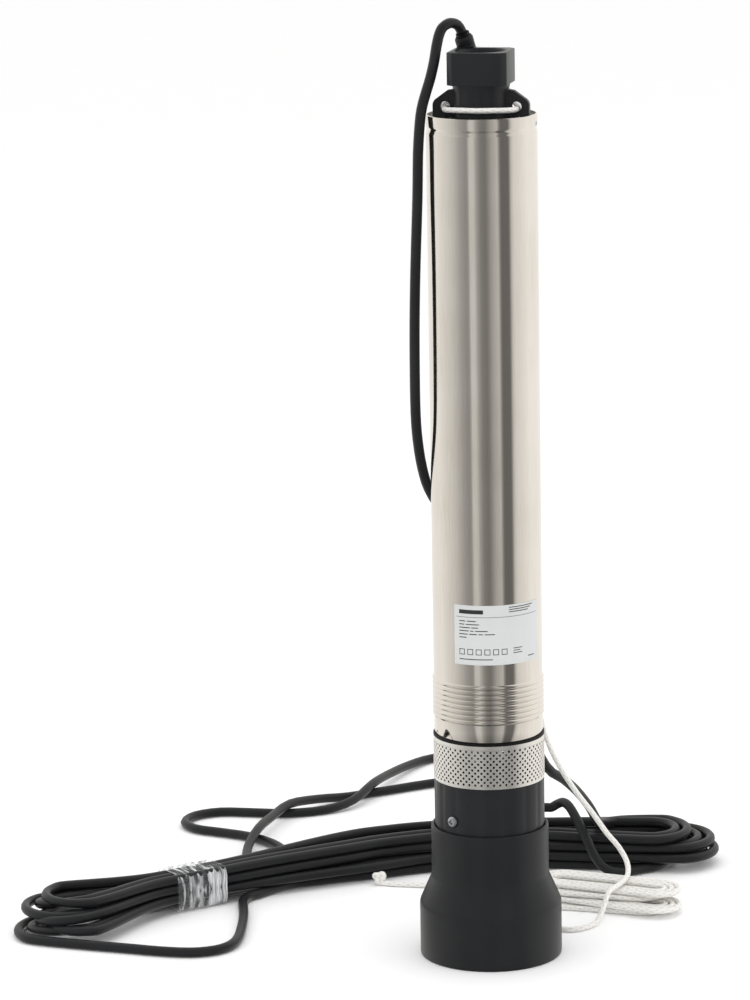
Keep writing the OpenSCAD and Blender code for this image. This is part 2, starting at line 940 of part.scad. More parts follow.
module valve_cage() {
    color("#c8c3b4") {
        ring(3 + run_gap, 6.2, cage_z, cage_z + 6);
        ring(15.5, 18 - fit_gap, cage_z + 0.02, cage_z + 6);
        for (k = [0 : 2])
            rotate([0, 0, 120 * k])
                translate([4.5, -1.2, cage_z + 0.02])
                    cube([12, 2.4, 5]);
    }
}

module valve_spring() {
    turns = 5;
    low = seat_z + 5.8;
    rise = cage_z - 0.8 - low;
    color("#b4b6b8")
        tube(
            [for (i = [0 : turns * 12]) [5.5 * cos(30 * i), 5.5 * sin(30 * i), low + rise * i / turns / 12]],
            0.6, 8, 1
        );
}

module valve_poppet() {
    color("#d6d2c6") {
        ring(0, 15.5, seat_z + 2, seat_z + 5);
        translate([0, 0, seat_z + 4])
            cylinder(r = 3, h = cage_z + 6 - seat_z - 4);
    }
}

module valve_gasket() {
    color("#1a1a1a")
        ring(9, 15.4, seat_z + 0.02, seat_z + 2);
}

module power_cable() {
    color("#232426")
        tube(cable_points, cable_r, 10, 2);
}

module cable_slack() {
    color("#232426")
        tube(slack_points, cable_r, 10, 2);
}

module cable_loop() {
    color("#232426")
        tube(loop_points, cable_r, 10, 2);
}

module plug_lead() {
    color("#232426")
        tube(lead_points, cable_r, 10, 2);
}

// The waist of the hank that the tape wraps, grown by a thickness
module tape_block(length, grow) {
    along = hank_points[2] - hank_points[0];
    translate([hank_points[1][0], hank_points[1][1], 0])
        rotate([0, 0, atan2(along[1], along[0])])
            translate([-length / 2, -tape_half - grow, tape_t - grow])
                cube([length, 2 * (tape_half + grow), hank_h - 2 * (tape_t - grow)]);
}

module cable_hank() {
    color("#232426")
        difference() {
            linear_extrude(hank_h)
                bar_outline(hank_points, hank_halves);
            difference() {
                tape_block(tape_len, 40);
                tape_block(tape_len + 2, -0.05);
            }
        }
}

module hank_tape() {
    color("#d9dcde")
        difference() {
            tape_block(tape_len - 0.2, tape_t);
            tape_block(tape_len + 2, 0);
        }
}

module power_plug() {
    color("#1b1c1e")
        translate(plug_at)
            rotate([0, 90, 0]) {
                translate([0, 0, -31])
                    cylinder(r = plug_body_r, h = 43);
                translate([0, 0, 12])
                    cylinder(r1 = plug_body_r, r2 = 9, h = 12);
                translate([0, 0, 24])
                    cylinder(r1 = 9, r2 = cable_r + 1.2, h = 26);
            }
}

module plug_pins() {
    color("#c0c2c4")
        for (s = [-0.5, 0.5])
            translate(plug_at + [-50, s * plug_pin_pitch, 0])
                rotate([0, 90, 0])
                    cylinder(r = plug_pin_r, h = 19);
}

module lifting_rope() {
    color("#e8e6df") {
        tube(rope_points, rope_d / 2, 10, 2);
        tube(rope_tail_points, rope_d / 2, 10, 2);
    }
}

module rope_hank() {
    color("#e8e6df")
        linear_extrude(rope_hank_h)
            bar_outline(rope_hank_points, rope_hank_halves);
}

foot();
bottom_cap();
cap_screws();
strainer();
intake_housing();
intake_bush();
sleeve_gasket();
outer_sleeve();
rating_label();
for (i = [1 : stages]) {
    stage_casing(i);
    impeller(i);
}
impeller_spacers();
shaft_nut();
motor_shaft();
rotor_core();
stator_core();
stator_windings();
motor_can();
motor_lower_bracket();
motor_upper_bracket();
motor_top_cap();
can_o_rings();
bearing_outer(lower_bearing_z);  // lower_bearing_outer
bearing_inner(lower_bearing_z);  // lower_bearing_inner
bearing_balls(lower_bearing_z);  // lower_bearing_balls
bearing_outer(upper_bracket_z);  // upper_bearing_outer
bearing_inner(upper_bracket_z);  // upper_bearing_inner
bearing_balls(upper_bracket_z);  // upper_bearing_balls
seal_seat();
seal_head();
run_capacitor();
motor_leads();
discharge_head();
head_o_ring();
head_screws();
gland_grommet();
gland_nut();
cable_tail();
valve_cage();
valve_spring();
valve_poppet();
valve_gasket();
power_cable();
cable_slack();
cable_loop();
plug_lead();
cable_hank();
hank_tape();
power_plug();
plug_pins();
lifting_rope();
rope_hank();
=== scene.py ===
"""Looks of the borehole submersible pump: cords, fine detail, materials, studio and camera."""
import json
import logging
import math
from dataclasses import dataclass, field
from enum import Enum
from typing import Callable, Sequence

import bmesh
import bpy
from mathutils import Matrix, Vector


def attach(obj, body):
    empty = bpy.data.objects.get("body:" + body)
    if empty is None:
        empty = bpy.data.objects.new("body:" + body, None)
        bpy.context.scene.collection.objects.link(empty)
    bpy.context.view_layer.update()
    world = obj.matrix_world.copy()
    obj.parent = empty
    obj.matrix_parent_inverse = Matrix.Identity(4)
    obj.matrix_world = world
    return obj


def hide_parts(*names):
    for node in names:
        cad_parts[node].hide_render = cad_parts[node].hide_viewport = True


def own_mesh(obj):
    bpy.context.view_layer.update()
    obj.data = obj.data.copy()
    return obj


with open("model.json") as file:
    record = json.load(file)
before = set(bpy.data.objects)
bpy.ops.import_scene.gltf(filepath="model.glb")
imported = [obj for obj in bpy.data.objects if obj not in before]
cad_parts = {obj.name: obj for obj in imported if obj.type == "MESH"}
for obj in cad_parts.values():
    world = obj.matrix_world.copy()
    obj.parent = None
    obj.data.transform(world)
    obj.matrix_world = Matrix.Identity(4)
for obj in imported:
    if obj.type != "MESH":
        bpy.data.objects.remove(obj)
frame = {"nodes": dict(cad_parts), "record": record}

LOG = logging.getLogger("pump_looks")
MM = 0.001
NODES: dict[str, bpy.types.Object] = frame["nodes"]
Point = Sequence[float]


def linear(code: str) -> tuple[float, float, float, float]:
    """Turns an sRGB hex colour into linear RGBA.

    Args:
        code: six hex digits.
    Returns:
        Linear red, green, blue and an alpha of 1.
    """
    parts = [int(code[i:i + 2], 16) / 255 for i in (0, 2, 4)]
    return (*[c / 12.92 if c <= 0.04045 else ((c + 0.055) / 1.055) ** 2.4 for c in parts], 1.0)


def add(tree: bpy.types.NodeTree, kind: str, inputs: dict | None = None, **settings) -> bpy.types.Node:
    """Adds a node, sets its properties and fills or links its inputs.

    Args:
        tree: the node tree.
        kind: the node's type name.
        inputs: socket name or index to a value or to an output socket.
        settings: node properties by name.
    Returns:
        The new node.
    """
    node = tree.nodes.new(kind)
    for name, value in settings.items():
        setattr(node, name, value)
    for key, value in (inputs or {}).items():
        if isinstance(value, bpy.types.NodeSocket):
            tree.links.new(value, node.inputs[key])
        else:
            node.inputs[key].default_value = value
    return node


class Grain(Enum):
    """Stretch of a finish's pattern along x, y and z."""

    MOULDED = (1, 1, 1)
    DRAWN = (1, 1, 0.02)
    TURNED = (0.05, 0.05, 1)
    LAMINATED = (0.01, 0.01, 1)


@dataclass(frozen=True)
class Finish:
    """A procedural surface: two tones, roughness and relief from one noise of a real size.

    Attributes:
        name: the real material.
        base: main sRGB colour.
        tint: second sRGB colour of the pattern.
        rough: middle roughness.
        spread: roughness change over the pattern.
        metal: 1 for bare metal.
        grain: stretch of the pattern.
        size_mm: size of the pattern.
        relief_mm: depth of the pattern.
        shine: specular level of a non-metal.
        smear_mm: size of the broad cloudy marks.
    """

    name: str
    base: str
    tint: str
    rough: float
    spread: float = 0.08
    metal: float = 0.0
    grain: Grain = Grain.MOULDED
    size_mm: float = 0.6
    relief_mm: float = 0.02
    shine: float = 0.5
    smear_mm: float = 70.0

    def fine(self, tree: bpy.types.NodeTree) -> bpy.types.NodeSocket:
        """Adds the fine pattern.

        Args:
            tree: the material's tree.
        Returns:
            The pattern's value from 0 to 1.
        """
        place = add(tree, "ShaderNodeTexCoord").outputs["Object"]
        scaled = add(tree, "ShaderNodeMapping", {"Vector": place, "Scale": self.grain.value}).outputs[0]
        return add(tree, "ShaderNodeTexNoise", {
            "Vector": scaled, "Scale": 1000 / self.size_mm, "Detail": 3.0}).outputs["Fac"]

    def shader(self, tree: bpy.types.NodeTree, fine: bpy.types.NodeSocket) -> bpy.types.Node:
        """Adds the surface shader.

        Args:
            tree: the material's tree.
            fine: the fine pattern.
        Returns:
            The shader node.
        """
        place = add(tree, "ShaderNodeTexCoord").outputs["Object"]
        broad = add(tree, "ShaderNodeTexNoise", {
            "Vector": place, "Scale": 1000 / self.smear_mm, "Detail": 2.0}).outputs["Fac"]
        blend = add(tree, "ShaderNodeMath", {0: fine, 1: broad}, operation="MULTIPLY").outputs[0]
        toned = add(tree, "ShaderNodeMapRange", {"Value": blend, "From Min": 0.12, "From Max": 0.4}).outputs[0]
        colour = add(tree, "ShaderNodeMix", {0: toned, 6: linear(self.base), 7: linear(self.tint)},
                     data_type="RGBA").outputs[2]
        rough = add(tree, "ShaderNodeMapRange", {
            "Value": blend, "From Min": 0.12, "From Max": 0.4,
            "To Min": self.rough - self.spread / 2, "To Max": self.rough + self.spread / 2}).outputs[0]
        bump = add(tree, "ShaderNodeBump",
                   {"Height": fine, "Strength": 0.5, "Distance": self.relief_mm * MM}).outputs[0]
        return add(tree, "ShaderNodeBsdfPrincipled", {
            "Base Color": colour, "Roughness": rough, "Normal": bump, "Metallic": self.metal,
            "Specular IOR Level": self.shine})

    def material(self) -> bpy.types.Material:
        """Builds the node material, or returns the one already built."""
        found = bpy.data.materials.get(self.name)
        if found:
            return found
        material = bpy.data.materials.new(self.name)
        material.use_nodes = True
        tree = material.node_tree
        tree.nodes.clear()
        shader = self.shader(tree, self.fine(tree))
        add(tree, "ShaderNodeOutputMaterial", {"Surface": shader.outputs[0]})
        return material


@dataclass(frozen=True)
class Braid(Finish):
    """A braided cord: two sets of strands cross over the cord's own UV map.

    Attributes:
        lay_mm: length of one crossing along the cord.
        strands: strands in each set.
    """

    lay_mm: float = 9.0
    strands: float = 4.0

    def fine(self, tree: bpy.types.NodeTree) -> bpy.types.NodeSocket:
        """Adds the crossing strands.

        Args:
            tree: the material's tree.
        Returns:
            The strands' height from 0 to 1.
        """
        uv = add(tree, "ShaderNodeTexCoord").outputs["UV"]
        axes = add(tree, "ShaderNodeSeparateXYZ", {0: uv}).outputs
        along = add(tree, "ShaderNodeMath", {0: axes["X"], 1: math.tau * 1000 / self.lay_mm},
                    operation="MULTIPLY").outputs[0]
        waves = []
        for way in (1, -1):
            lean = add(tree, "ShaderNodeMath", {0: axes["Y"], 1: way * math.tau * self.strands, 2: along},
                       operation="MULTIPLY_ADD").outputs[0]
            waves.append(add(tree, "ShaderNodeMath", {0: lean}, operation="SINE").outputs[0])
        top = add(tree, "ShaderNodeMath", {0: waves[0], 1: waves[1]}, operation="MAXIMUM").outputs[0]
        return add(tree, "ShaderNodeMapRange", {"Value": top, "From Min": -1.0, "From Max": 1.0}).outputs[0]


@dataclass(frozen=True)
class Film(Finish):
    """Clear wrapped film: see-through, with whitish creases that follow its own UV map."""

    def fine(self, tree: bpy.types.NodeTree) -> bpy.types.NodeSocket:
        """Adds the creases.

        Args:
            tree: the material's tree.
        Returns:
            The creases' height from 0 to 1.
        """
        uv = add(tree, "ShaderNodeTexCoord").outputs["UV"]
        long = add(tree, "ShaderNodeMapping", {
            "Vector": uv, "Rotation": (0, 0, 0.12), "Scale": (1, 0.09, 1)}).outputs[0]
        return add(tree, "ShaderNodeTexNoise", {
            "Vector": long, "Scale": 1000 / self.size_mm, "Detail": 4.0, "Distortion": 0.4}).outputs["Fac"]

    def shader(self, tree: bpy.types.NodeTree, fine: bpy.types.NodeSocket) -> bpy.types.Node:
        """Adds the film's shader, more opaque along its creases.

        Args:
            tree: the material's tree.
            fine: the creases.
        Returns:
            The shader node.
        """
        node = Finish.shader(self, tree, fine)
        clear = add(tree, "ShaderNodeMapRange", {
            "Value": fine, "From Min": 0.46, "From Max": 0.66, "To Min": 0.07, "To Max": 0.92}).outputs[0]
        tree.links.new(clear, node.inputs["Alpha"])
        return node


FINISHES: dict[str, Finish] = {
    # Injection moulded and a little worn: an even charcoal satin with a soft grey sheen.
    "foot_plastic": Finish("satin charcoal polypropylene", "1d1e20", "242527", 0.4, size_mm=0.5, shine=0.26),
    # Glass fibre leaves a tight, darker gloss that shows upright streaks of the studio.
    "black_plastic": Finish("black glass filled nylon", "202123", "262729", 0.36, size_mm=0.7, relief_mm=0.01,
                            shine=0.24),
    # Drawn tube: a clear upright mirror, warm, softened along its length and faintly smeared.
    "sleeve_steel": Finish("drawn stainless steel", "ebe6df", "e0dad0", 0.09, 0.08, 1, Grain.DRAWN, 0.5, 0.002),
    # Punched sheet: paler and more matt than the tube.
    "strainer_steel": Finish("perforated stainless steel", "f7f5f0", "edeae4", 0.4, 0.08, 1, Grain.DRAWN, 0.5,
                             0.003),
    # Gloss laminate over paper white.
    "label_film": Finish("printed polyester film", "d0d2d1", "c8cac9", 0.3, size_mm=0.4, relief_mm=0.003,
                         shine=0.4),
    # Zinc plate: pale grey metal with a broken, cloudy brightness.
    "screw_zinc": Finish("zinc plated steel", "c9cbcd", "a9acb0", 0.28, 0.1, 1, Grain.MOULDED, 0.3, 0.01),
    # Cured rubber: the darkest and dullest black of the pump.
    "seal_rubber": Finish("moulded nitrile rubber", "0d0d0e", "141415", 0.55, size_mm=0.4, shine=0.25),
    # Filled moulding: grey with a fine even grain.
    "stage_plastic": Finish("grey moulded noryl", "434a54", "4c535e", 0.4, size_mm=0.6),
    # Unpigmented acetal: milky and slightly waxy.
    "valve_plastic": Finish("natural acetal", "d5d0c4", "cbc6b9", 0.38, size_mm=0.8),
    # Ground bar: bright with fine rings round it.
    "shaft_steel": Finish("ground stainless steel", "b5b7b9", "a3a5a8", 0.22, 0.08, 1, Grain.TURNED, 0.2, 0.004),
    # Stacked sheets: dull grey with fine level lines.
    "core_iron": Finish("laminated electrical steel", "73777c", "5f6368", 0.42, 0.12, 1, Grain.LAMINATED, 0.6,
                        0.05),
    # Varnished wire: reddish metal with ridges of single turns.
    "winding_copper": Finish("enamelled copper", "a8652c", "8f5122", 0.32, 0.1, 1, Grain.TURNED, 0.8, 0.12),
    # Sand cast: a grey, pebbled, half matt metal.
    "cast_aluminium": Finish("cast aluminium", "8f9193", "7f8183", 0.48, 0.14, 1, Grain.MOULDED, 0.9, 0.05),
    # Lapped flat: cream white and nearly polished.
    "seal_ceramic": Finish("lapped ceramic", "dad3c6", "d0c8ba", 0.18, size_mm=0.5, relief_mm=0.004),
    # Thin drawn plastic cup: smooth and off-white.
    "capacitor_shell": Finish("smooth capacitor shell", "dadad8", "d0d0ce", 0.3, size_mm=0.7, relief_mm=0.006),
    # Extruded insulation: blue with a soft sheen.
    "lead_insulation": Finish("blue wire insulation", "3a4f8a", "32457a", 0.4, size_mm=0.6),
    # Extruded rubber: near black, dusty, with a broad dull highlight along its top.
    "cable_rubber": Finish("black rubber cable sheath", "1a1b1d", "232426", 0.44, 0.12, size_mm=0.5,
                           relief_mm=0.03, shine=0.34),
    # Plated and turned: bright and slightly yellow.
    "pin_nickel": Finish("nickel plated brass", "c9c8c2", "b9b8b2", 0.2, 0.08, 1, Grain.TURNED, 0.3, 0.004),
    # Stretched film in many plies: clear, with white creases across the bundle.
    "tape_film": Film("clear stretch film", "f4f5f6", "eceef0", 0.22, size_mm=4.0, relief_mm=0.3),
    # Braided tape yarn: white with a crossing lay drawn 9 mm long so that it shows.
    "rope_fibre": Braid("white braided polypropylene", "e0ded8", "f2f0ec", 0.6, size_mm=0.5, relief_mm=0.35,
                        smear_mm=240.0),
}
# Screen print: thin, even and almost black.
INK = Finish("black label ink", "262627", "303031", 0.4, size_mm=0.3, relief_mm=0.002, shine=0.4)
# Seamless paper: an even white that keeps soft shadows.
FLOOR = Finish("pale studio floor", "ffffff", "fefefe", 0.9, size_mm=3.0, relief_mm=0.0, shine=0.1)


def smooth(points: Sequence[Point], steps: int) -> list[Vector]:
    """Runs a Catmull-Rom curve through points.

    Args:
        points: points to pass through.
        steps: samples per segment.
    Returns:
        The denser list of points, first and last kept.
    """
    p = [Vector(q) for q in points]
    p = [2 * p[0] - p[1], *p, 2 * p[-1] - p[-2]]
    out = []
    for a, b, c, d in zip(p, p[1:], p[2:], p[3:]):
        for s in range(steps):
            t = s / steps
            out.append(0.5 * (2 * b + t * (c - a) + t * t * (2 * a - 5 * b + 4 * c - d)
                              + t ** 3 * (3 * b - a - 3 * c + d)))
    return [*out, p[-2]]


def length_of(points: Sequence[Vector]) -> float:
    """Length of a line of points."""
    return sum((b - a).length for a, b in zip(points, points[1:]))


def spoke(radius: float, angle: float, level: float) -> Vector:
    """Point at a radius, an angle in radians and a level."""
    return Vector((radius * math.cos(angle), radius * math.sin(angle), level))


def skin(rings: int, sides: int, closed: bool = False) -> list[tuple[int, ...]]:
    """Joins rings of vertices that follow each other with faces.

    Args:
        rings: number of rings.
        sides: vertices in each ring.
        closed: whether the last ring joins the first, in place of two end faces.
    Returns:
        Vertex indices of each face, the end faces last.
    """
    faces = []
    for i in range(rings if closed else rings - 1):
        low, high = i * sides, (i + 1) % rings * sides
        faces += [(low + k, low + (k + 1) % sides, high + (k + 1) % sides, high + k) for k in range(sides)]
    if not closed:
        faces += [tuple(range(sides))[::-1], tuple(range((rings - 1) * sides, rings * sides))]
    return faces


def placed(name: str, mesh: bpy.types.Mesh) -> bpy.types.Object:
    """Puts a mesh into the scene as an object at the origin."""
    obj = bpy.data.objects.new(name, mesh)
    bpy.context.scene.collection.objects.link(obj)
    return obj


def shaded(mesh: bpy.types.Mesh, crease: float) -> None:
    """Shades a mesh smooth, but keeps edges sharp past an angle in degrees."""
    mesh.polygons.foreach_set("use_smooth", [True] * len(mesh.polygons))
    mesh.set_sharp_from_angle(angle=math.radians(crease))


def declare(obj: bpy.types.Object, slot: str, *stands_for: str) -> bpy.types.Object:
    """Rides a finished piece on the pump, hides the CAD nodes that it stands for, and logs it.

    Args:
        obj: the piece.
        slot: material slot of the record; not used.
        stands_for: CAD nodes that it replaces.
    Returns:
        The same object.
    """
    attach(obj, "pump")
    if stands_for:
        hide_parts(*stands_for)
    LOG.info("%s, %d faces", obj.name, len(obj.data.polygons))
    return obj


def shape(name: str, verts: Sequence[Point], faces: Sequence[Sequence[int]], finish: Finish,
          crease: float = 40.0) -> bpy.types.Object:
    """Makes a merged mesh object that is smooth up to a crease angle, with its faces outwards.

    Args:
        name: object name.
        verts: vertices in metres, in the shared frame.
        faces: vertex indices of each face.
        finish: its finish.
        crease: angle in degrees past which an edge stays sharp.
    Returns:
        The new object.
    """
    mesh = bpy.data.meshes.new(name)
    mesh.from_pydata([tuple(v) for v in verts], [], faces)
    work = bmesh.new()
    work.from_mesh(mesh)
    bmesh.ops.remove_doubles(work, verts=work.verts, dist=1e-6)
    bmesh.ops.recalc_face_normals(work, faces=work.faces)
    work.to_mesh(mesh)
    work.free()
    shaded(mesh, crease)
    mesh.materials.append(finish.material())
    return placed(name, mesh)


def settle(obj: bpy.types.Object, crease: float = 40.0) -> None:
    """Turns an object with modifiers into a plain mesh.

    Args:
        obj: the object.
        crease: angle in degrees past which an edge stays sharp.
    """
    graph = bpy.context.evaluated_depsgraph_get()
    mesh = bpy.data.meshes.new_from_object(obj.evaluated_get(graph))
    obj.modifiers.clear()
    obj.data = mesh
    shaded(mesh, crease)


def eased(profile: Sequence[Point], radius: float, steps: int = 3) -> list[Vector]:
    """Rounds every corner of a closed flat outline.

    Args:
        profile: corner points in mm.
        radius: how far from each corner the rounding starts, at most a third of an edge.
        steps: points of each rounding, less one.
    Returns:
        The rounded outline.
    """
    p = [Vector(q) for q in profile]
    out = []
    for i, here in enumerate(p):
        to_last, to_next = p[i - 1] - here, p[(i + 1) % len(p)] - here
        a = here + to_last.normalized() * min(radius, to_last.length / 3)
        b = here + to_next.normalized() * min(radius, to_next.length / 3)
        for k in range(steps + 1):
            t = k / steps
            out.append(a * (1 - t) ** 2 + here * 2 * t * (1 - t) + b * t * t)
    return out


def revolved(name: str, profile: Sequence[Point], finish: Finish, sides: int = 128,
             swell: Callable[[float], float] = lambda angle: 1.0,
             frame_of: Matrix = Matrix()) -> bpy.types.Object:
    """Revolves a closed outline of radius and level.

    Args:
        name: object name.
        profile: outline in mm, radius first.
        finish: its finish.
        sides: steps round the axis.
        swell: factor on the radius by angle in radians.
        frame_of: turns and moves the axis from Z, in mm.
    Returns:
        The new object.
    """
    verts = []
    for k in range(sides):
        a = math.tau * k / sides
        grow = swell(a)
        verts += [frame_of @ spoke(r * grow, a, z) * MM for r, z in profile]
    return shape(name, verts, skin(sides, len(profile), True), finish)


def bored(obj: bpy.types.Object, holes: Sequence[tuple[Vector, Vector, float, float]]) -> None:
    """Cuts round holes into a piece.

    Args:
        obj: the piece.
        holes: start, heading, radius and length of each hole in mm.
    """
    cutters, sides = [], 24
    for start, way, radius, length in holes:
        place = Matrix.Translation(start) @ way.to_track_quat("Z", "Y").to_matrix().to_4x4()
        verts = [place @ spoke(radius, math.tau * k / sides, z) * MM for z in (0, length) for k in range(sides)]
        cutter = shape("drill", verts, skin(2, sides), INK)
        cut = obj.modifiers.new("hole", "BOOLEAN")
        cut.operation, cut.solver, cut.object = "DIFFERENCE", "EXACT", cutter
        cutters.append(cutter)
    bpy.context.view_layer.update()
    settle(obj)
    while len(obj.data.materials) > 1:
        obj.data.materials.pop()
    for cutter in cutters:
        bpy.data.objects.remove(cutter)


def softened(node: str, width_mm: float, finish: Finish, crisp_mm: float) -> bpy.types.Object:
    """Copies a CAD node, merges it and rounds its sharp edges.

    Args:
        node: the CAD node.
        width_mm: width of the rounding.
        finish: its finish.
        crisp_mm: level of a flat that is narrower than the rounding, whose own edges stay sharp.
    Returns:
        The new object.
    """
    mesh = NODES[node].data.copy()
    work = bmesh.new()
    work.from_mesh(mesh)
    bmesh.ops.remove_doubles(work, verts=work.verts, dist=2e-5)
    bmesh.ops.dissolve_limit(work, angle_limit=math.radians(1), verts=work.verts, edges=work.edges)
    weight = work.edges.layers.float.new("bevel_weight_edge")
    for edge in work.edges:
        crisp = all(abs(v.co.z - crisp_mm * MM) < 1e-4 for v in edge.verts)
        edge[weight] = float(not crisp and edge.calc_face_angle(0) > math.radians(38))
    work.to_mesh(mesh)
    work.free()
    mesh.materials.clear()
    mesh.materials.append(finish.material())
    obj = placed(f"{node}_soft_edges", mesh)
    rounding = obj.modifiers.new("edge", "BEVEL")
    rounding.width, rounding.segments, rounding.limit_method = width_mm * MM, 2, "WEIGHT"
    rounding.use_clamp_overlap = False
    settle(obj, 32)
    return obj


def tube(name: str, path: Sequence[Vector], radius: float, sides: int, finish: Finish) -> bpy.types.Object:
    """Sweeps a round tube along a path, with UVs in metres along and turns around.

    Args:
        name: object name.
        path: centreline in metres.
        radius: tube radius in metres.
        sides: sides of the section.
        finish: its finish.
    Returns:
        The tube object.
    """
    verts, along = [], [0.0]
    side = Vector((0.6, -0.7, 0.4))
    for i, here in enumerate(path):
        way = (path[min(i + 1, len(path) - 1)] - path[max(i - 1, 0)]).normalized()
        side = (side - way * side.dot(way)).normalized()
        across = way.cross(side)
        for k in range(sides):
            a = math.tau * k / sides
            verts.append(here + radius * (math.cos(a) * side + math.sin(a) * across))
        if i:
            along.append(along[-1] + (here - path[i - 1]).length)
    mesh = bpy.data.meshes.new(name)
    mesh.from_pydata([tuple(v) for v in verts], [], skin(len(path), sides))
    mesh.polygons.foreach_set("use_smooth", [True] * len(mesh.polygons))
    mesh.materials.append(finish.material())
    uv = mesh.uv_layers.new(name="UVMap")
    for poly in mesh.polygons:
        seam = {k % sides for k in poly.vertices} >= {0, sides - 1}
        for loop in poly.loop_indices:
            vertex = mesh.loops[loop].vertex_index
            turn = vertex % sides
            uv.data[loop].uv = (along[vertex // sides], (sides if seam and turn == 0 else turn) / sides)
    return placed(name, mesh)


def tree_of(name: str, sockets: dict[str, str]) -> tuple[bpy.types.NodeTree, bpy.types.Node, dict[str, str]]:
    """Starts a Geometry Nodes tree with named inputs.

    Args:
        name: tree name.
        sockets: input name to socket type, after the geometry.
    Returns:
        The tree, its input node and each input's identifier.
    """
    tree = bpy.data.node_groups.new(name, "GeometryNodeTree")
    tree.interface.new_socket("Geometry", in_out="OUTPUT", socket_type="NodeSocketGeometry")
    tree.interface.new_socket("Geometry", in_out="INPUT", socket_type="NodeSocketGeometry")
    keys = {label: tree.interface.new_socket(label, in_out="INPUT", socket_type=kind).identifier
            for label, kind in sockets.items()}
    return tree, add(tree, "NodeGroupInput"), keys


def close_tree(tree: bpy.types.NodeTree, start: bpy.types.Node, instances: bpy.types.NodeSocket) -> None:
    """Ends a tree in real geometry with one material.

    Args:
        tree: the tree.
        start: its input node.
        instances: what it has made.
    """
    real = add(tree, "GeometryNodeRealizeInstances", {0: instances})
    joined = add(tree, "GeometryNodeMergeByDistance", {"Geometry": real.outputs[0], "Distance": 1e-6})
    painted = add(tree, "GeometryNodeSetMaterial", {
        "Geometry": joined.outputs[0], "Material": start.outputs["Material"]})
    add(tree, "NodeGroupOutput", {0: painted.outputs[0]})


def apply_tree(obj: bpy.types.Object, tree: bpy.types.NodeTree, keys: dict[str, str], values: dict) -> None:
    """Runs a tree on an object with its named inputs and keeps the result as a plain mesh.

    Args:
        obj: the object with the first shape.
        tree: the tree.
        keys: each input's identifier by its name.
        values: each input's value by its name.
    """
    modifier = obj.modifiers.new(tree.name, "NODES")
    modifier.node_group = tree
    for label, value in values.items():
        modifier[keys[label]] = value
    settle(obj)


@dataclass
class Repeat:
    """Geometry Nodes tree that repeats a shape round Z, along a step and with a shrink."""

    tree: bpy.types.NodeTree = field(init=False)
    keys: dict[str, str] = field(init=False)

    def __post_init__(self) -> None:
        """Builds the tree."""
        self.tree, start, self.keys = tree_of("repeat_round_and_along", {
            "Count": "NodeSocketInt", "Turn": "NodeSocketFloat", "Step": "NodeSocketVector",
            "Shrink": "NodeSocketFloat", "Material": "NodeSocketMaterial"})
        tree, ins = self.tree, start.outputs
        index = add(tree, "GeometryNodeInputIndex").outputs[0]
        moved = add(tree, "ShaderNodeVectorMath", {0: ins["Step"], "Scale": index}, operation="SCALE").outputs[0]
        points = add(tree, "GeometryNodePoints", {"Count": ins["Count"], "Position": moved}).outputs[0]
        angle = add(tree, "ShaderNodeMath", {0: index, 1: ins["Turn"]}, operation="MULTIPLY").outputs[0]
        turned = add(tree, "ShaderNodeCombineXYZ", {"Z": angle}).outputs[0]
        less = add(tree, "ShaderNodeMath", {0: index, 1: ins["Shrink"]}, operation="MULTIPLY").outputs[0]
        size = add(tree, "ShaderNodeMath", {0: 1.0, 1: less}, operation="SUBTRACT").outputs[0]
        flat = add(tree, "ShaderNodeCombineXYZ", {"X": size, "Y": size, "Z": 1.0}).outputs[0]
        copies = add(tree, "GeometryNodeInstanceOnPoints", {
            "Points": points, "Instance": ins["Geometry"], "Rotation": turned, "Scale": flat}).outputs[0]
        close_tree(tree, start, copies)

    def run(self, obj: bpy.types.Object, count: int, finish: Finish, turn: float = 0.0,
            step: Point = (0, 0, 0), shrink: float = 0.0) -> None:
        """Repeats an object's mesh.

        Args:
            obj: the object with the first copy.
            count: number of copies.
            finish: its finish.
            turn: angle between copies in radians.
            step: move between copies in metres.
            shrink: loss of width per copy.
        """
        apply_tree(obj, self.tree, self.keys, {
            "Count": count, "Turn": turn, "Step": step, "Shrink": shrink, "Material": finish.material()})


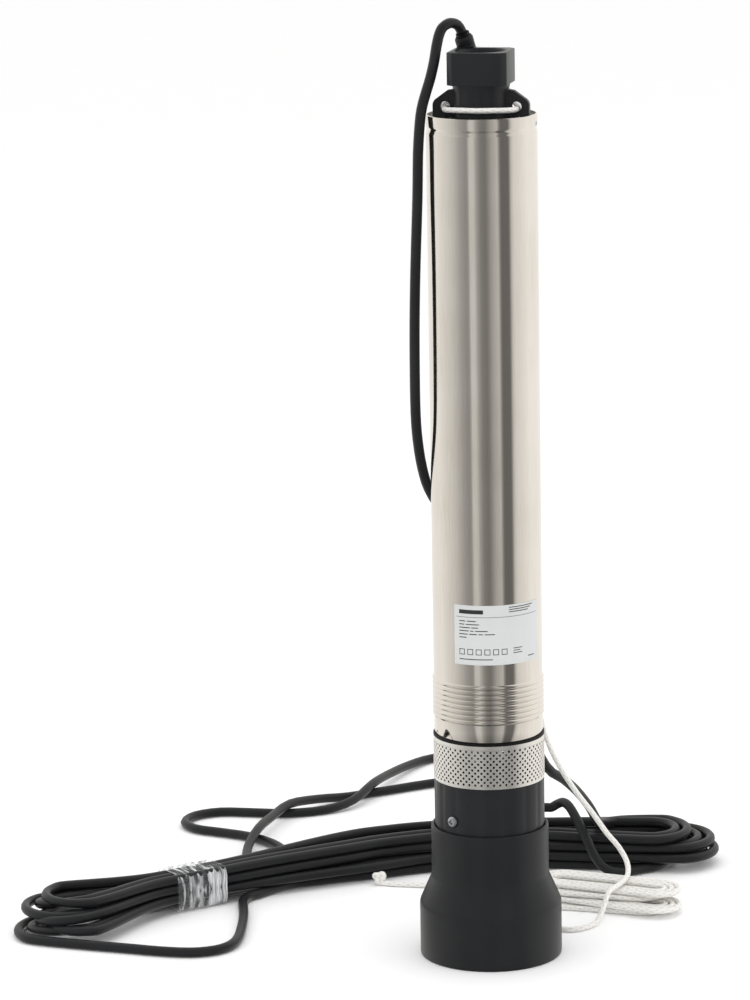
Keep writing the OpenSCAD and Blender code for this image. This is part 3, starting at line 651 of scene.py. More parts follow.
@dataclass
class Hank:
    """A bent flat coil of cord: nested turns in layers between two ends.

    Attributes:
        centres: centre points on the floor, left to right, in mm.
        lanes: for each nested turn, its half width at each centre, in mm.
        cord: cord diameter in mm.
        gap: spacing between layers in mm.
        start_in: whether the first layer starts at the inner turn.
        top_down: whether the first layer is the top one.
        leans: sideways shift of each layer left of the tie, in its middle and at its right end, bottom first,
            in mm.
        rights: how far each layer stops short of the right end, in mm.
        lefts: how far each layer stops short of the left end, in mm.
        sway: how far a layer wanders sideways, in mm.
        tied: place of the tie along the centres, or nothing.
        snug: how far to each side of the tie the turns stay narrow.
    """

    centres: list[Point]
    lanes: list[list[float]]
    cord: float
    gap: float
    start_in: bool
    top_down: bool
    leans: list[tuple[float, float, float]]
    rights: list[float]
    lefts: list[float]
    sway: float = 0.0
    tied: float | None = None
    snug: float = 0.19

    def turns(self) -> list[tuple[int, int]]:
        """Lists nest index and layer of each turn in winding order."""
        order = []
        layers = len(self.leans)
        for i in range(layers):
            nests = list(range(len(self.lanes)))
            if (i % 2 == 0) != self.start_in:
                nests.reverse()
            order += [(n, layers - 1 - i if self.top_down else i) for n in nests]
        return order

    def ends(self, layer: int) -> tuple[float, float]:
        """First and last place of a layer along the centres."""
        p = [Vector(q) for q in self.centres]
        return (self.lefts[layer] / (p[1] - p[0]).length,
                len(p) - 1 - self.rights[layer] / (p[-1] - p[-2]).length)

    def at(self, u: float, turn: tuple[int, int], side: int) -> Vector:
        """Point of a lane.

        Args:
            u: place along the centres, 0 at the first.
            turn: nest and layer.
            side: 1 for the back lane, -1 for the front lane.
        Returns:
            The point in mm.
        """
        nest, layer = turn
        here, way = self.centre(u)
        loose, eased_u = 1.0, u
        if self.tied is not None:
            off = min(1.0, abs(u - self.tied))
            loose = off ** 2
            if off < 1:
                free = max(0.0, off - self.snug) / (1 - self.snug)
                eased_u = self.tied + math.copysign(free, u - self.tied)
        i = min(int(eased_u), len(self.centres) - 2)
        t = eased_u - i
        t = t * t * (3 - 2 * t)
        half = self.lanes[nest][i] * (1 - t) + self.lanes[nest][i + 1] * t
        left, middle, right = self.leans[layer]
        late = max(0.0, u - len(self.centres) + 2)
        lean = middle + (right - middle) * late
        wander = self.sway * math.sin(1.9 * u + 2.1 * layer)
        if self.tied is not None and u < self.tied:
            lean, wander = left, 0.0
        shift = loose * (lean + wander)
        flat = here + Vector((-way.y, way.x)) * (side * half + shift)
        return Vector((flat.x, flat.y, self.cord / 2 + 0.1 + layer * self.gap))

    def centre(self, u: float) -> tuple[Vector, Vector]:
        """Finds the middle of the hank.

        Args:
            u: place along the centres, 0 at the first.
        Returns:
            Centre point in mm and heading.
        """
        steps = 16
        line = smooth(self.centres, steps)
        end = len(line) - 1
        i = min(int(u * steps), end - 1)
        here = line[i].lerp(line[i + 1], u * steps - i)
        before, after = line[max(i - 1, 0)], line[min(i + 2, end)]
        return here, (after - before).normalized()

    def lane(self, turn: tuple[int, int], side: int, start: float, end: float) -> list[Vector]:
        """Points of a lane between two places along the hank, in mm."""
        count = max(2, round(abs(end - start) * 6))
        return [self.at(start + (end - start) * k / count, turn, side) for k in range(count + 1)]

    def bend(self, right: bool, leave: tuple[int, int], enter: tuple[int, int], from_deg: float = 0,
             reach: float = 1.0) -> list[Vector]:
        """Points of the half turn at an end of the hank, without its first and last point.

        Args:
            right: whether this is the right end.
            leave: nest and layer of the lane that it comes from.
            enter: nest and layer of the lane that it goes to.
            from_deg: angle at which to start.
            reach: length of the half turn by its half width.
        Returns:
            Points in mm.
        """
        side = 1 if right else -1
        a = self.at(self.ends(leave[1])[right], leave, side)
        b = self.at(self.ends(enter[1])[right], enter, -side)
        way = self.centre(self.ends(leave[1])[right])[1].to_3d() * side
        middle, half = (a + b) / 2, (a - b) / 2
        long = way * half.to_2d().length
        turns = [math.radians(20 * k) for k in range(1, 9) if 20 * k > from_deg]
        return [middle + half * math.cos(a) + long * math.sin(a) * reach for a in turns]


GLAND_Z = 815.8542
FLOOR_Z = 4.6
CROSS_Z = FLOOR_Z + 9.6
HANK_H = 37.0
PLUG_Z = HANK_H + 19.2
CABLE_FREE: list[Point] = [
    *[(x, y, GLAND_Z + lift) for x, y, lift in [
        (-14.978, 24.823, 0), (-18.9, 21.5, 6.7), (-25, 16.3, 9.2), (-31.2, 11.2, 6.7), (-34.8, 8.2, 1.1),
        (-37.5, 4.3, -9), (-39.9, 0, -22), (-43.5, -4.5, -36), (-47.5, -8, -48), (-51, -10.5, -60), (-53, -12, -73),
        (-54.9, -12, -99), (-56, -11, -138)]],
    *[(x, y, GLAND_Z * share) for x, y, share in [
        (-58.5, -10.5, 0.76), (-60, -9.5, 0.7), (-60.5, -8.5, 0.645), (-60.3, -6.5, 0.6), (-58.8, -2.5, 0.57),
        (-55.3, 6.5, 0.539), (-49.5, 21, 0.511), (-38.5, 38.5, 0.484), (-23, 57, 0.451), (-5, 76, 0.405),
        (10, 88, 0.35), (22, 96, 0.286), (35, 105, 0.225)]],
    (55, 118, 137), (72, 138, 118.5), (85, 160, 101), (97, 184, 80),
    *[(x, y, HANK_H + lift) for x, y, lift in [
        (104, 205, 26), (107, 224, 16.5), (109, 244, 9), (111, 262, 4.7), (116, 279, -1), (126, 292, -4),
        (140, 299, -5)]]]
CABLE_SLACK: list[Point] = [
    (x, y, FLOOR_Z) for x, y in [
        (-211, 169), (-221.3, 159), (-225.5, 145.3), (-225, 130), (-224, 110), (-224, 86), (-225, 60),
        (-227, 36), (-233, 14), (-247, 0), (-268, -5), (-295, 0), (-325, 10), (-362, 22), (-400, 35.5)]]
CABLE_LOOP: list[Point] = [
    *[(x, y, FLOOR_Z) for x, y in [(-247.6, 180.7), (-236, 189), (-229, 203), (-226, 230), (-226, 270)]],
    (-225, 312, FLOOR_Z + 3.4), (-216, 352, CROSS_Z), (-203, 398, CROSS_Z - 1), (-187, 437, CROSS_Z),
    (-160, 471, FLOOR_Z + 4.4),
    *[(x, y, FLOOR_Z) for x, y in [
        (-128, 494), (-88, 515), (-46, 537), (0, 556), (36, 577), (48, 607), (32, 634), (-6, 646), (-42, 634)]],
    (-66, 602, FLOOR_Z + 2), (-88, 553, FLOOR_Z + 6), (-104, 506, CROSS_Z), (-124, 468, FLOOR_Z + 3.4),
    *[(x, y, FLOOR_Z) for x, y in [
        (-152, 447), (-190, 437), (-225, 442), (-256, 446), (-281, 434), (-290, 411), (-279, 388), (-254, 374),
        (-226, 358), (-203, 334), (-189, 304), (-181, 282), (-172, 265), (-158, 256), (-141, 259), (-122, 268)]]]
CABLE_LEAD: list[Point] = [
    (146, 224, FLOOR_Z), (134, 217.5, FLOOR_Z), (122, 213.5, FLOOR_Z + 1.5), (112, 214, 11), (104, 218, 21),
    (98, 224, 33),
    *[(x, y, PLUG_Z + lift) for x, y, lift in [
        (92, 231, -11), (87, 238, -2), (82, 246, 5), (77, 254, 7), (72, 260, 4), (66, 262, 0), (62.5, 262, 0),
        (59.2, 262, 0)]]]
ROPE_Z = 753.3
ROPE_FLOOR = 2.6
ROPE_TOP = 21.0
ROPE_FREE: list[Point] = [
    *[(x, y, ROPE_Z + lift) for x, y, lift in [
        (-27.8, 18.2, 0), (-29.3, 11.3, 0), (-30.3, 6.4, 0), (-31.4, 1.6, 0), (-30.9, -5.7, 0),
        (-26.7, -14.8, 0.5), (-17.3, -23.4, 1), (-5.9, -28.3, 1), (6.2, -28.8, 1), (18.3, -24.3, 0.5),
        (25.9, -17.8, 0), (29.3, -11.3, 0), (30.3, -6.4, 0), (31.4, -1.6, 0), (32.3, 7.5, 0),
        (31.8, 19.8, 0), (30, 31, 1), (28, 39.5, 2.5), (26.6, 46, -2), (26, 48, -12), (25, 47.5, -35),
        (24, 47, -75)]],
    (24, 47, 640), (24.5, 47, 560), (26, 47, 480), (28, 47, 400), (32, 49, 330), (38, 54, 265),
    (46, 63, 212), (54, 73, 175), (66, 88, 145), (82, 106, 115), (98, 130, 88), (112, 154, 62),
    (124, 168, 44), (131, 160, 32), (131, 143, ROPE_TOP + 4.5), (126, 126, ROPE_TOP + 3),
    (118, 108, ROPE_TOP + 3), (110, 92, ROPE_TOP + 2.6), (104, 78, 12), (98, 67, 4),
    *[(x, y, ROPE_FLOOR) for x, y in [
        (90, 57), (80, 50), (70, 49), (58, 56), (47, 68), (39, 84), (34, 104), (31, 125), (33, 146)]]]
ROPE_TAIL: list[Point] = [
    (41, 145, 15), (24, 156, 8), (6, 168, ROPE_FLOOR + 1),
    *[(x, y, ROPE_FLOOR) for x, y in [(-16, 180), (-42, 189), (-68, 195), (-88, 199), (-99, 204)]]]


@dataclass
class Cords:
    """The mains cable and the lifting rope, each one line from end to end."""

    cable_d: float = 9.0
    rope_d: float = 5.0
    yarn_r: float = 2.2
    cable_hank: Hank = field(default_factory=lambda: Hank(
        centres=[(-390, 72), (-272, 152), (-110, 247), (0, 274), (186, 266)],
        lanes=[[28, 4.6, 14, 13, 27], [38.5, 13.8, 26, 25, 37]], cord=9, gap=9.15, start_in=False, top_down=True,
        leans=[(-2, -9, -9), (-15, -2, -2), (2, 5, 3), (13, 11, -7.6)], rights=[40, 0, 5, 26],
        lefts=[0, 12, 5, 24], sway=3.0, tied=1.0))
    rope_hank: Hank = field(default_factory=lambda: Hank(
        centres=[(58, 150), (158, 112)], lanes=[[9, 8], [15, 14.5], [21, 21]], cord=5, gap=5.1, start_in=False,
        top_down=False, leans=[(0, -9, -4), (0, -1, -7), (0, 5, 9), (0, 10, 2)], rights=[14, 0, 20, 5],
        lefts=[0, 7, 2, 10], sway=3.0))

    def cable_line(self) -> list[Vector]:
        """Centreline of the cable from the gland to the plug, in metres."""
        hank, turns = self.cable_hank, self.cable_hank.turns()
        line = [Vector(p) for p in CABLE_FREE]
        last = len(turns) - 1
        for j, here in enumerate(turns):
            first, end = hank.ends(here[1])
            if j == last:
                line += hank.lane(here, 1, first, 1.12) + [Vector(p) for p in CABLE_LOOP]
                line += hank.lane(here, 1, 2.12, end)
            elif j:
                line += hank.lane(here, 1, first, end)
            line += hank.bend(True, here, here, 15 if j == 0 else 0, 0.98 - 0.04 * (j % 3))
            if j == last:
                line += [Vector(p) for p in CABLE_LEAD]
            elif j == last - 1:
                line += hank.lane(here, -1, end, 1.5) + [Vector(p) for p in CABLE_SLACK]
                line += hank.bend(False, turns[last], turns[last], 65)
            else:
                line += hank.lane(here, -1, end, first)
                line += hank.bend(False, here, turns[j + 1], reach=0.97 - 0.05 * ((j * 2) % 3))
        return [p * MM for p in smooth(line, 3)]

    def rope_line(self) -> list[Vector]:
        """Centreline of the rope from its knot behind the ear to its end, in metres."""
        hank, turns = self.rope_hank, self.rope_hank.turns()
        line = [Vector(p) for p in ROPE_FREE] + hank.bend(False, turns[0], turns[0], 85)
        for j, here in enumerate(turns):
            first, end = hank.ends(here[1])
            line += hank.lane(here, 1, first, end) + hank.bend(True, here, here)
            line += hank.lane(here, -1, end, first)
            if j < len(turns) - 1:
                line += hank.bend(False, here, turns[j + 1])
        line += [Vector(p) for p in ROPE_TAIL]
        return [p * MM for p in smooth(line, 3)]

    def knot(self, name: str, place: Vector, size_mm: float) -> bpy.types.Object:
        """Ties a small overhand knot round a point of the rope.

        Args:
            name: object name.
            place: its middle in metres.
            size_mm: half its width.
        Returns:
            The knot.
        """
        path = []
        for k in range(73):
            t = math.tau * k / 72
            path.append(place + Vector((math.sin(t) + 2 * math.sin(2 * t), -math.sin(3 * t),
                                        math.cos(t) - 2 * math.cos(2 * t))) * size_mm / 3 * MM)
        knot = tube(name, path, self.yarn_r * MM, 10, FINISHES["rope_fibre"])
        return declare(knot, "rope_fibre")

    def build(self, plug: Sequence[bpy.types.Object]) -> None:
        """Args:
            plug: pieces on the cable's far end; not used.
        """
        line = self.cable_line()
        cable = tube("mains_cable", line, self.cable_d / 2 * MM, 12, FINISHES["cable_rubber"])
        declare(cable, "cable_rubber",
                "power_cable", "cable_slack", "cable_loop", "plug_lead", "cable_hank")
        LOG.info("cable %.2f m", length_of(line))
        line = self.rope_line()
        rope = tube("lifting_rope_braid", line, self.rope_d / 2 * MM, 10, FINISHES["rope_fibre"])
        declare(rope, "rope_fibre", "lifting_rope", "rope_hank")
        knots = [self.knot("rope_stop_knot", line[0] + Vector((0.5, 3, 0)) * MM, 5.2),
                 self.knot("rope_end_knot", line[-1] + Vector((0, 0, 4.7)) * MM, 5.0)]
        LOG.info("rope %.2f m", length_of(line))


@dataclass
class Plug:
    """The moulded mains plug that lies on the hank."""

    at: Point = (9, 262, PLUG_Z)
    body_r: float = 19.0
    rings: int = 5
    ring_from: float = 25.5
    ring_step: float = 4.6
    ring_shrink: float = 0.058

    def build(self, repeat: Repeat) -> list[bpy.types.Object]:
        """Makes the plug's body and strain relief rings.

        Args:
            repeat: the tree that repeats the rings.
        Returns:
            The pieces on the cable's end.
        """
        black = FINISHES["cable_rubber"]
        turn = Matrix.Translation(self.at) @ Matrix.Rotation(math.pi / 2, 4, "Y")
        outline = eased([(0.4, -31), (17.6, -31), (self.body_r, -28), (self.body_r, 12), (9.2, 24), (6.2, 50),
                         (4.4, 50), (0.4, 44)], 2.2)
        body = revolved("plug_body", outline, black, 72, frame_of=turn)
        declare(body, "cable_rubber", "power_plug")
        rib = revolved("plug_relief_rings", [(8.2, 0), (9.6, 0.7), (9.6, 2.0), (8.2, 2.7)], black, 32)
        repeat.run(rib, self.rings, black, step=(0, 0, self.ring_step * MM), shrink=self.ring_shrink)
        rib.data.transform(Matrix.Translation(Vector(self.at) * MM) @ Matrix.Rotation(math.pi / 2, 4, "Y")
                           @ Matrix.Translation((0, 0, self.ring_from * MM)))
        return [body, declare(rib, "cable_rubber"), NODES["plug_pins"]]


@dataclass
class Base:
    """Foot, bottom cap, its screws and the perforated strainer band."""

    foot_r: float = 63.0
    collar_r: float = 52.0
    cap_r: float = 48.6
    cap_top: float = 162.0
    cap_low: float = 92.0
    foot_h: float = 119.0
    drain_at: float = 38.0
    drain_r: float = 3.0
    screw_z: float = 130.0
    screw_angles: tuple[float, ...] = (-43, 137)
    strainer_r: float = 49.0
    strainer_wall: float = 0.8
    strainer_h: float = 39.0
    hems: tuple[float, float] = (2.5, 4.0)
    hole_d: float = 2.2
    rows: int = 12
    columns: int = 56

    def foot(self) -> None:
        """Turns the flared foot with eased edges and drain holes in its floor."""
        bore, spigot = self.cap_r + 0.3, self.cap_r - 5.2
        outline = eased([
            (0.4, 1.5), (49, 1.5), (50.5, 0), (62, 0), (self.foot_r, 1), (self.foot_r, 48), (self.collar_r, 73),
            (self.collar_r, self.foot_h - 1), (self.collar_r - 1, self.foot_h), (bore, self.foot_h),
            (bore, self.cap_low), (spigot, self.cap_low), (spigot, 86), (48, 79), (48, 72), (59, 47),
            (59, 6), (0.4, 6)], 2.4)
        foot = revolved("flared_foot", outline, FINISHES["foot_plastic"], 144)
        bored(foot, [(spoke(self.drain_at, math.radians(45 + 90 * k), -2), Vector((0, 0, 1)), self.drain_r, 12)
                     for k in range(4)])
        declare(foot, "foot_plastic", "foot")

    def cap(self) -> None:
        """Turns the bottom cap, whose wall has shallow upright flats."""
        inner = self.cap_r - 3.2
        outline = eased([(inner, self.cap_low), (self.cap_r - 1, self.cap_low), (self.cap_r, self.cap_low + 1),
                         (self.cap_r, self.cap_top), (inner, self.cap_top)], 0.8)
        cap = revolved("fluted_bottom_cap", outline, FINISHES["black_plastic"], 288,
                       lambda a: 1 - 0.009 * abs(math.sin(a * 9)) ** 6)
        declare(cap, "black_plastic", "bottom_cap")

    def screws(self, repeat: Repeat) -> None:
        """Sets two pan head screws with cross recesses in the cap.

        Args:
            repeat: the tree that repeats the screw.
        """
        verts, sides = [], 32
        domes = [(2.5, -14), (2.5, 0.05), (5.0, 0.05), (5.0, 1.0), (4.5, 2.0), (3.4, 2.7), (2.9, 2.85), (2.6, 1.3),
                 (0.1, 1.0)]
        for i, (r, out) in enumerate(domes):
            for a in (math.tau * k / sides for k in range(sides)):
                wide = r * (0.55 + 0.45 * math.cos(2 * a) ** 2 if 6 <= i <= 7 else 1)
                verts.append(Vector((self.cap_r + out, wide * math.cos(a), self.screw_z + wide * math.sin(a))) * MM)
        screw = shape("cap_pan_screws", verts, skin(len(domes), sides), FINISHES["screw_zinc"])
        screw.data.transform(Matrix.Rotation(math.radians(self.screw_angles[0] - 90), 4, "Z"))
        repeat.run(screw, len(self.screw_angles), FINISHES["screw_zinc"], turn=math.pi)
        declare(screw, "screw_zinc", "cap_screws")

    def strainer(self) -> None:
        """Wraps a punched band round the pump: one cell with its hole, repeated in staggered rows."""
        tree, start, keys = tree_of("wrapped_perforations", {
            "Columns": "NodeSocketInt", "Rows": "NodeSocketInt", "Length": "NodeSocketFloat",
            "Height": "NodeSocketFloat", "Radius": "NodeSocketFloat", "Material": "NodeSocketMaterial"})
        ins = start.outputs
        grid = add(tree, "GeometryNodeMeshGrid", {
            "Size X": ins["Length"], "Size Y": ins["Height"], "Vertices X": ins["Columns"],
            "Vertices Y": ins["Rows"]}).outputs[0]
        cells = add(tree, "GeometryNodeInstanceOnPoints", {"Points": grid, "Instance": ins["Geometry"]}).outputs[0]
        flat = add(tree, "GeometryNodeRealizeInstances", {0: cells}).outputs[0]
        position = add(tree, "GeometryNodeInputPosition").outputs[0]
        here = add(tree, "ShaderNodeSeparateXYZ", {0: position}).outputs
        angle = add(tree, "ShaderNodeMath", {0: here["X"], 1: ins["Radius"]}, operation="DIVIDE").outputs[0]
        reach = add(tree, "ShaderNodeMath", {0: here["Z"], 1: ins["Radius"]}, operation="ADD").outputs[0]
        ahead = add(tree, "ShaderNodeCombineXYZ", {"X": reach, "Z": here["Y"]}).outputs[0]
        wrapped = add(tree, "ShaderNodeVectorRotate", {"Vector": ahead, "Angle": angle},
                      rotation_type="Z_AXIS").outputs[0]
        bent = add(tree, "GeometryNodeSetPosition", {"Geometry": flat, "Position": wrapped}).outputs[0]
        close_tree(tree, start, bent)
        steel = FINISHES["strainer_steel"]
        pitch = math.tau * self.strainer_r / self.columns
        rise = (self.strainer_h - sum(self.hems)) / self.rows
        pairs = self.rows // 2
        band = self.cell(pitch, rise)
        apply_tree(band, tree, keys, {
            "Columns": self.columns, "Rows": pairs, "Length": pitch * (self.columns - 1) * MM,
            "Height": 2 * rise * (pairs - 1) * MM, "Radius": self.strainer_r * MM, "Material": steel.material()})
        declare(band, "strainer_steel", "strainer")
        inner = self.strainer_r - self.strainer_wall
        foot, top = self.cap_top, self.cap_top + self.strainer_h
        for name, low, high in (("strainer_lower_hem", foot, foot + self.hems[0]),
                                ("strainer_upper_hem", top - self.hems[1], top)):
            hem = eased([(inner, low), (self.strainer_r, low), (self.strainer_r, high), (inner, high)], 0.25)
            declare(revolved(name, hem, steel, 120), "strainer_steel")

    def cell(self, pitch: float, rise: float) -> bpy.types.Object:
        """Makes one flat cell of the band: two plates, half a pitch apart, each with a round hole.

        Args:
            pitch: width of a plate in mm.
            rise: height of a plate in mm.
        Returns:
            The cell at the middle level of the band, its outer face at z = 0.
        """
        verts, faces = [], []
        edge = [(-1, -1), (0, -1), (1, -1), (1, 0), (1, 1), (0, 1), (-1, 1), (-1, 0)]
        level = self.cap_top + (self.hems[0] + self.strainer_h - self.hems[1]) / 2
        for middle in (Vector((0, level - rise / 2, 0)), Vector((pitch / 2, level + rise / 2, 0))):
            low = len(verts)
            for depth in (0, -self.strainer_wall):
                verts += [(middle + Vector((x * pitch / 2, y * rise / 2, depth))) * MM for x, y in edge]
                verts += [(middle + Vector((x, y, 0)).normalized() * self.hole_d / 2 + Vector((0, 0, depth))) * MM
                          for x, y in edge]
            for k in range(8):
                j = (k + 1) % 8
                faces += [tuple(low + i for i in face) for face in (
                    (k, j, 8 + j, 8 + k), (16 + j, 16 + k, 24 + k, 24 + j), (8 + k, 8 + j, 24 + j, 24 + k))]
        return shape("strainer_band", verts, faces, FINISHES["strainer_steel"])

    def build(self, repeat: Repeat) -> None:
        """Makes every piece of the base.

        Args:
            repeat: the tree that repeats the screw.
        """
        self.foot()
        self.cap()
        self.screws(repeat)
        self.strainer()


@dataclass
class Casing:
    """Outer sleeve with its rolled beads and groove, and the bare rating label."""

    sleeve_r: float = 48.0
    bore_r: float = 46.5
    low: float = 203.0
    high: float = 749.0
    beads: int = 8
    bead_from: float = 18.5
    bead_pitch: float = 4.5
    bead_half: float = 2.1
    bead_h: float = 1.15
    groove_down: float = 12.5
    groove_half: float = 3.4
    groove_h: float = 0.85
    screw_down: float = 8.0
    screw_r: float = 2.2
    screw_angles: tuple[float, ...] = (-15, 165)
    label_from: float = -128.0
    label_turn: float = 100.0
    label_low: float = 274.0
    label_h: float = 53.0

    def sleeve(self) -> None:
        """Turns the sleeve in one profile from rim to rim."""
        r = self.sleeve_r
        wall = [(r - 0.3, self.low), (r, self.low + 0.4)]
        steps = [k / 6 for k in range(-6, 7)]
        for i in range(self.beads):
            middle = self.low + self.bead_from + i * self.bead_pitch
            wall += [(r + self.bead_h * math.cos(math.pi / 2 * k) ** 0.9, middle + self.bead_half * k)
                     for k in steps]
        middle = self.high - self.groove_down
        wall += [(r - self.groove_h * (0.5 + 0.5 * math.cos(math.pi * k)), middle + self.groove_half * k)
                 for k in steps]
        wall += [(r, self.high - 0.6), (r - 0.2, self.high - 0.15), (r - 0.6, self.high),
                 (self.bore_r, self.high), (self.bore_r, self.low)]
        sleeve = revolved("rolled_sleeve", wall, FINISHES["sleeve_steel"], 192)
        bored(sleeve, [(spoke(30, a, self.high - self.screw_down), spoke(1, a, 0), self.screw_r, 30)
                       for a in map(math.radians, self.screw_angles)])
        declare(sleeve, "sleeve_steel", "outer_sleeve")

    def patch(self, x: float, z: float, width: float, height: float, radius: float,
              wall: float) -> tuple[list[Vector], list[tuple[int, ...]]]:
        """A curved plate on the sleeve.

        Args:
            x: its left edge from the label's left edge in mm.
            z: its lower edge from the label's lower edge in mm.
            width: width in mm.
            height: height in mm.
            radius: outer radius in mm.
            wall: thickness in mm.
        Returns:
            Its vertices in metres and its faces.
        """
        count = max(1, round(width / 1.6))
        verts = []
        for k in range(count + 1):
            a = math.radians(self.label_from) + (x + width * k / count) / radius
            for r, level in ((radius - wall, z), (radius, z), (radius, z + height), (radius - wall, z + height)):
                verts.append(spoke(r, a, self.label_low + level) * MM)
        return verts, skin(count + 1, 4)

    def bars(self) -> list[tuple[float, float, float, float]]:
        """Plain bars and rules in place of print: left, low, width and height in mm."""
        marks = [(5, 45.5, 22, 3.6), (2, 42.4, 80, 0.35)]
        marks += [(50, 50.4 - 2.0 * k, 26 - 3 * k, 0.75) for k in range(3)]
        for k, words in enumerate([(6, 8), (5, 12), (10, 6), (9, 3, 11), (8, 7, 4, 9), (7,)]):
            left = 5.0
            for width in words:
                marks.append((left, 38.6 - 2.9 * k, width, 0.8))
                left += width + 1.4
        for k in range(6):
            left, side = 5 + 7.6 * k, 5.2
            marks += [(left, 9, side, 0.6), (left, 9 + side - 0.6, side, 0.6), (left, 9, 0.6, side),
                      (left + side - 0.6, 9, 0.6, side)]
        marks += [(54, 9.5 + 2.1 * k, 9 - 2 * (k % 2), 0.7) for k in range(3)]
        return [*marks, (5, 4.6, 30, 0.8), (70, 4.6, 8, 0.8)]

    def label(self) -> None:
        """Lays the label film on the sleeve with its plain bars."""
        radius = self.sleeve_r + 0.3
        sheet = self.patch(0, 0, math.radians(self.label_turn) * radius, self.label_h, radius, 0.2)
        declare(shape("label_film_sheet", *sheet, FINISHES["label_film"]), "label_film", "rating_label")
        verts, faces = [], []
        for bar in self.bars():
            more, sides = self.patch(*bar, self.sleeve_r + 0.34, 0.05)
            faces += [tuple(len(verts) + i for i in side) for side in sides]
            verts += more
        declare(shape("label_plain_bars", verts, faces, INK), "label_film")

    def build(self) -> None:
        """Makes the sleeve and its label."""
        self.sleeve()
        self.label()


@dataclass
class Head:
    """Discharge head with its outlet thread, cable gland and valve spring."""

    outlet_r: float = 19.5
    thread_from: float = 776.0
    thread_to: float = 799.0
    pitch: float = 2.309
    thread_h: float = 0.95
    gland_at: Point = (-10, 29, 798)
    gland_lean: float = -140.0
    gland_tilt: float = 20.0
    boss_low: float = 775.0
    spring_span: Point = (745.8, 761.2)
    spring_turns: int = 5
    spring_r: float = 5.5
    wire_r: float = 0.6
    cage_z: float = 762.0
    valve_travel: float = 8.0

    def thread(self) -> None:
        """Cuts the look of a pipe thread: one ridge that climbs inside the mouth."""
        verts, steps = [], 48
        total = int((self.thread_to - self.thread_from - self.pitch) / self.pitch * steps)
        deep = self.thread_h
        section = [(0.0, -deep), (-deep, -0.15), (-deep, 0.15), (0.0, deep)]
        for k in range(total + 1):
            a = math.tau * k / steps
            fade = min(1.0, k / 20, (total - k) / 20)
            for r, z in section:
                wide = self.outlet_r - 0.02 + r * fade
                level = self.thread_from + 1.2 + self.pitch * k / steps + z
                verts.append(spoke(wide, a, level) * MM)
        ridge = shape("outlet_thread_ridge", verts, skin(total + 1, 4), FINISHES["black_plastic"], 60)
        declare(ridge, "black_plastic")

    def gland(self) -> None:
        """Turns the ribbed grommet and the knurled nut on the leaning gland axis."""
        turn = (Matrix.Translation(self.gland_at) @ Matrix.Rotation(math.radians(self.gland_lean), 4, "Z")
                @ Matrix.Rotation(math.radians(self.gland_tilt), 4, "Y"))
        nut = eased([(6.6, 9), (8, 9), (8, 14), (6.8, 16), (6.6, 16)], 0.4)
        piece = revolved("gland_knurled_nut", nut, FINISHES["black_plastic"], 144,
                         lambda a: 1 - 0.03 * (0.5 + 0.5 * math.cos(24 * a)) ** 2, turn)
        declare(piece, "black_plastic", "gland_nut")
        grommet = eased([(4.7, 3), (6.5, 3), (6.5, 13.5), (6.3, 15.6), (5.9, 16), (6.2, 16.8), (5.8, 17.4),
                         (6.0, 18.2), (5.9, 19), (4.7, 19)], 0.3)
        declare(revolved("gland_ribbed_grommet", grommet, FINISHES["seal_rubber"], 64, frame_of=turn),
                "seal_rubber", "gland_grommet")

    def spring(self) -> None:
        """Winds the valve spring as a fixed coil between two levels."""
        low, high = self.spring_span
        per_turn = 24
        steps = self.spring_turns * per_turn
        line = [spoke(self.spring_r, math.tau * k / per_turn, low + (high - low) * k / steps) * MM
                for k in range(steps + 1)]
        coil = tube("valve_spring_coil", line, self.wire_r * MM, 8, FINISHES["shaft_steel"])
        declare(coil, "shaft_steel", "valve_spring")
        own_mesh(coil)

    def build(self) -> None:
        """Makes the head's pieces."""
        head = softened("discharge_head", 0.7, FINISHES["black_plastic"], self.boss_low)
        declare(head, "black_plastic", "discharge_head")
        self.thread()
        self.gland()
        self.spring()


@dataclass
class Tape:
    """Clear film wrapped round the waist of the cable hank."""

    middle: Point = (-272, 152)
    along: Point = (280, 175)
    length: float = 51.8
    half: float = 19.9
    height: float = 37.5
    squareness: float = 6.0
    inset: float = 0.7
    crease_h: float = 0.9
    wrap_mm: float = 110.0

    def build(self) -> None:
        """Wraps a wrinkled sleeve of film round the bundle."""
        way = Vector(self.along).normalized()
        left = Vector((-way.y, way.x))
        rows, sides = 26, 72
        verts = []
        for i in range(rows + 1):
            t = (i / rows - 0.5) * self.length
            for k in range(sides):
                a = math.tau * k / sides
                c, s = math.cos(a), math.sin(a)
                round_off = (abs(c) ** self.squareness + abs(s) ** self.squareness) ** (-1 / self.squareness)
                crease = self.crease_h * (0.35 * math.sin(t * 0.9 + 2 * c) * math.sin(3 * a + t * 0.21)
                                          + 0.25 * math.sin(t * 2.1 + 5 * s))
                v = (self.half - self.inset + crease) * c * round_off
                z = self.height / 2 + (self.height / 2 - self.inset + crease) * s * round_off
                flat = Vector(self.middle) + way * t + left * v
                verts.append(Vector((flat.x, flat.y, z)) * MM)
        film = shape("hank_film_wrap", verts, skin(rows + 1, sides)[:-2], FINISHES["tape_film"], 80)
        uv = film.data.uv_layers.new(name="UVMap")
        for loop in film.data.loops:
            i, k = divmod(loop.vertex_index, sides)
            uv.data[loop.index].uv = (i / rows * self.length * MM, abs(2 * k / sides - 1) * self.wrap_mm * MM)
        declare(film, "tape_film", "hank_tape")


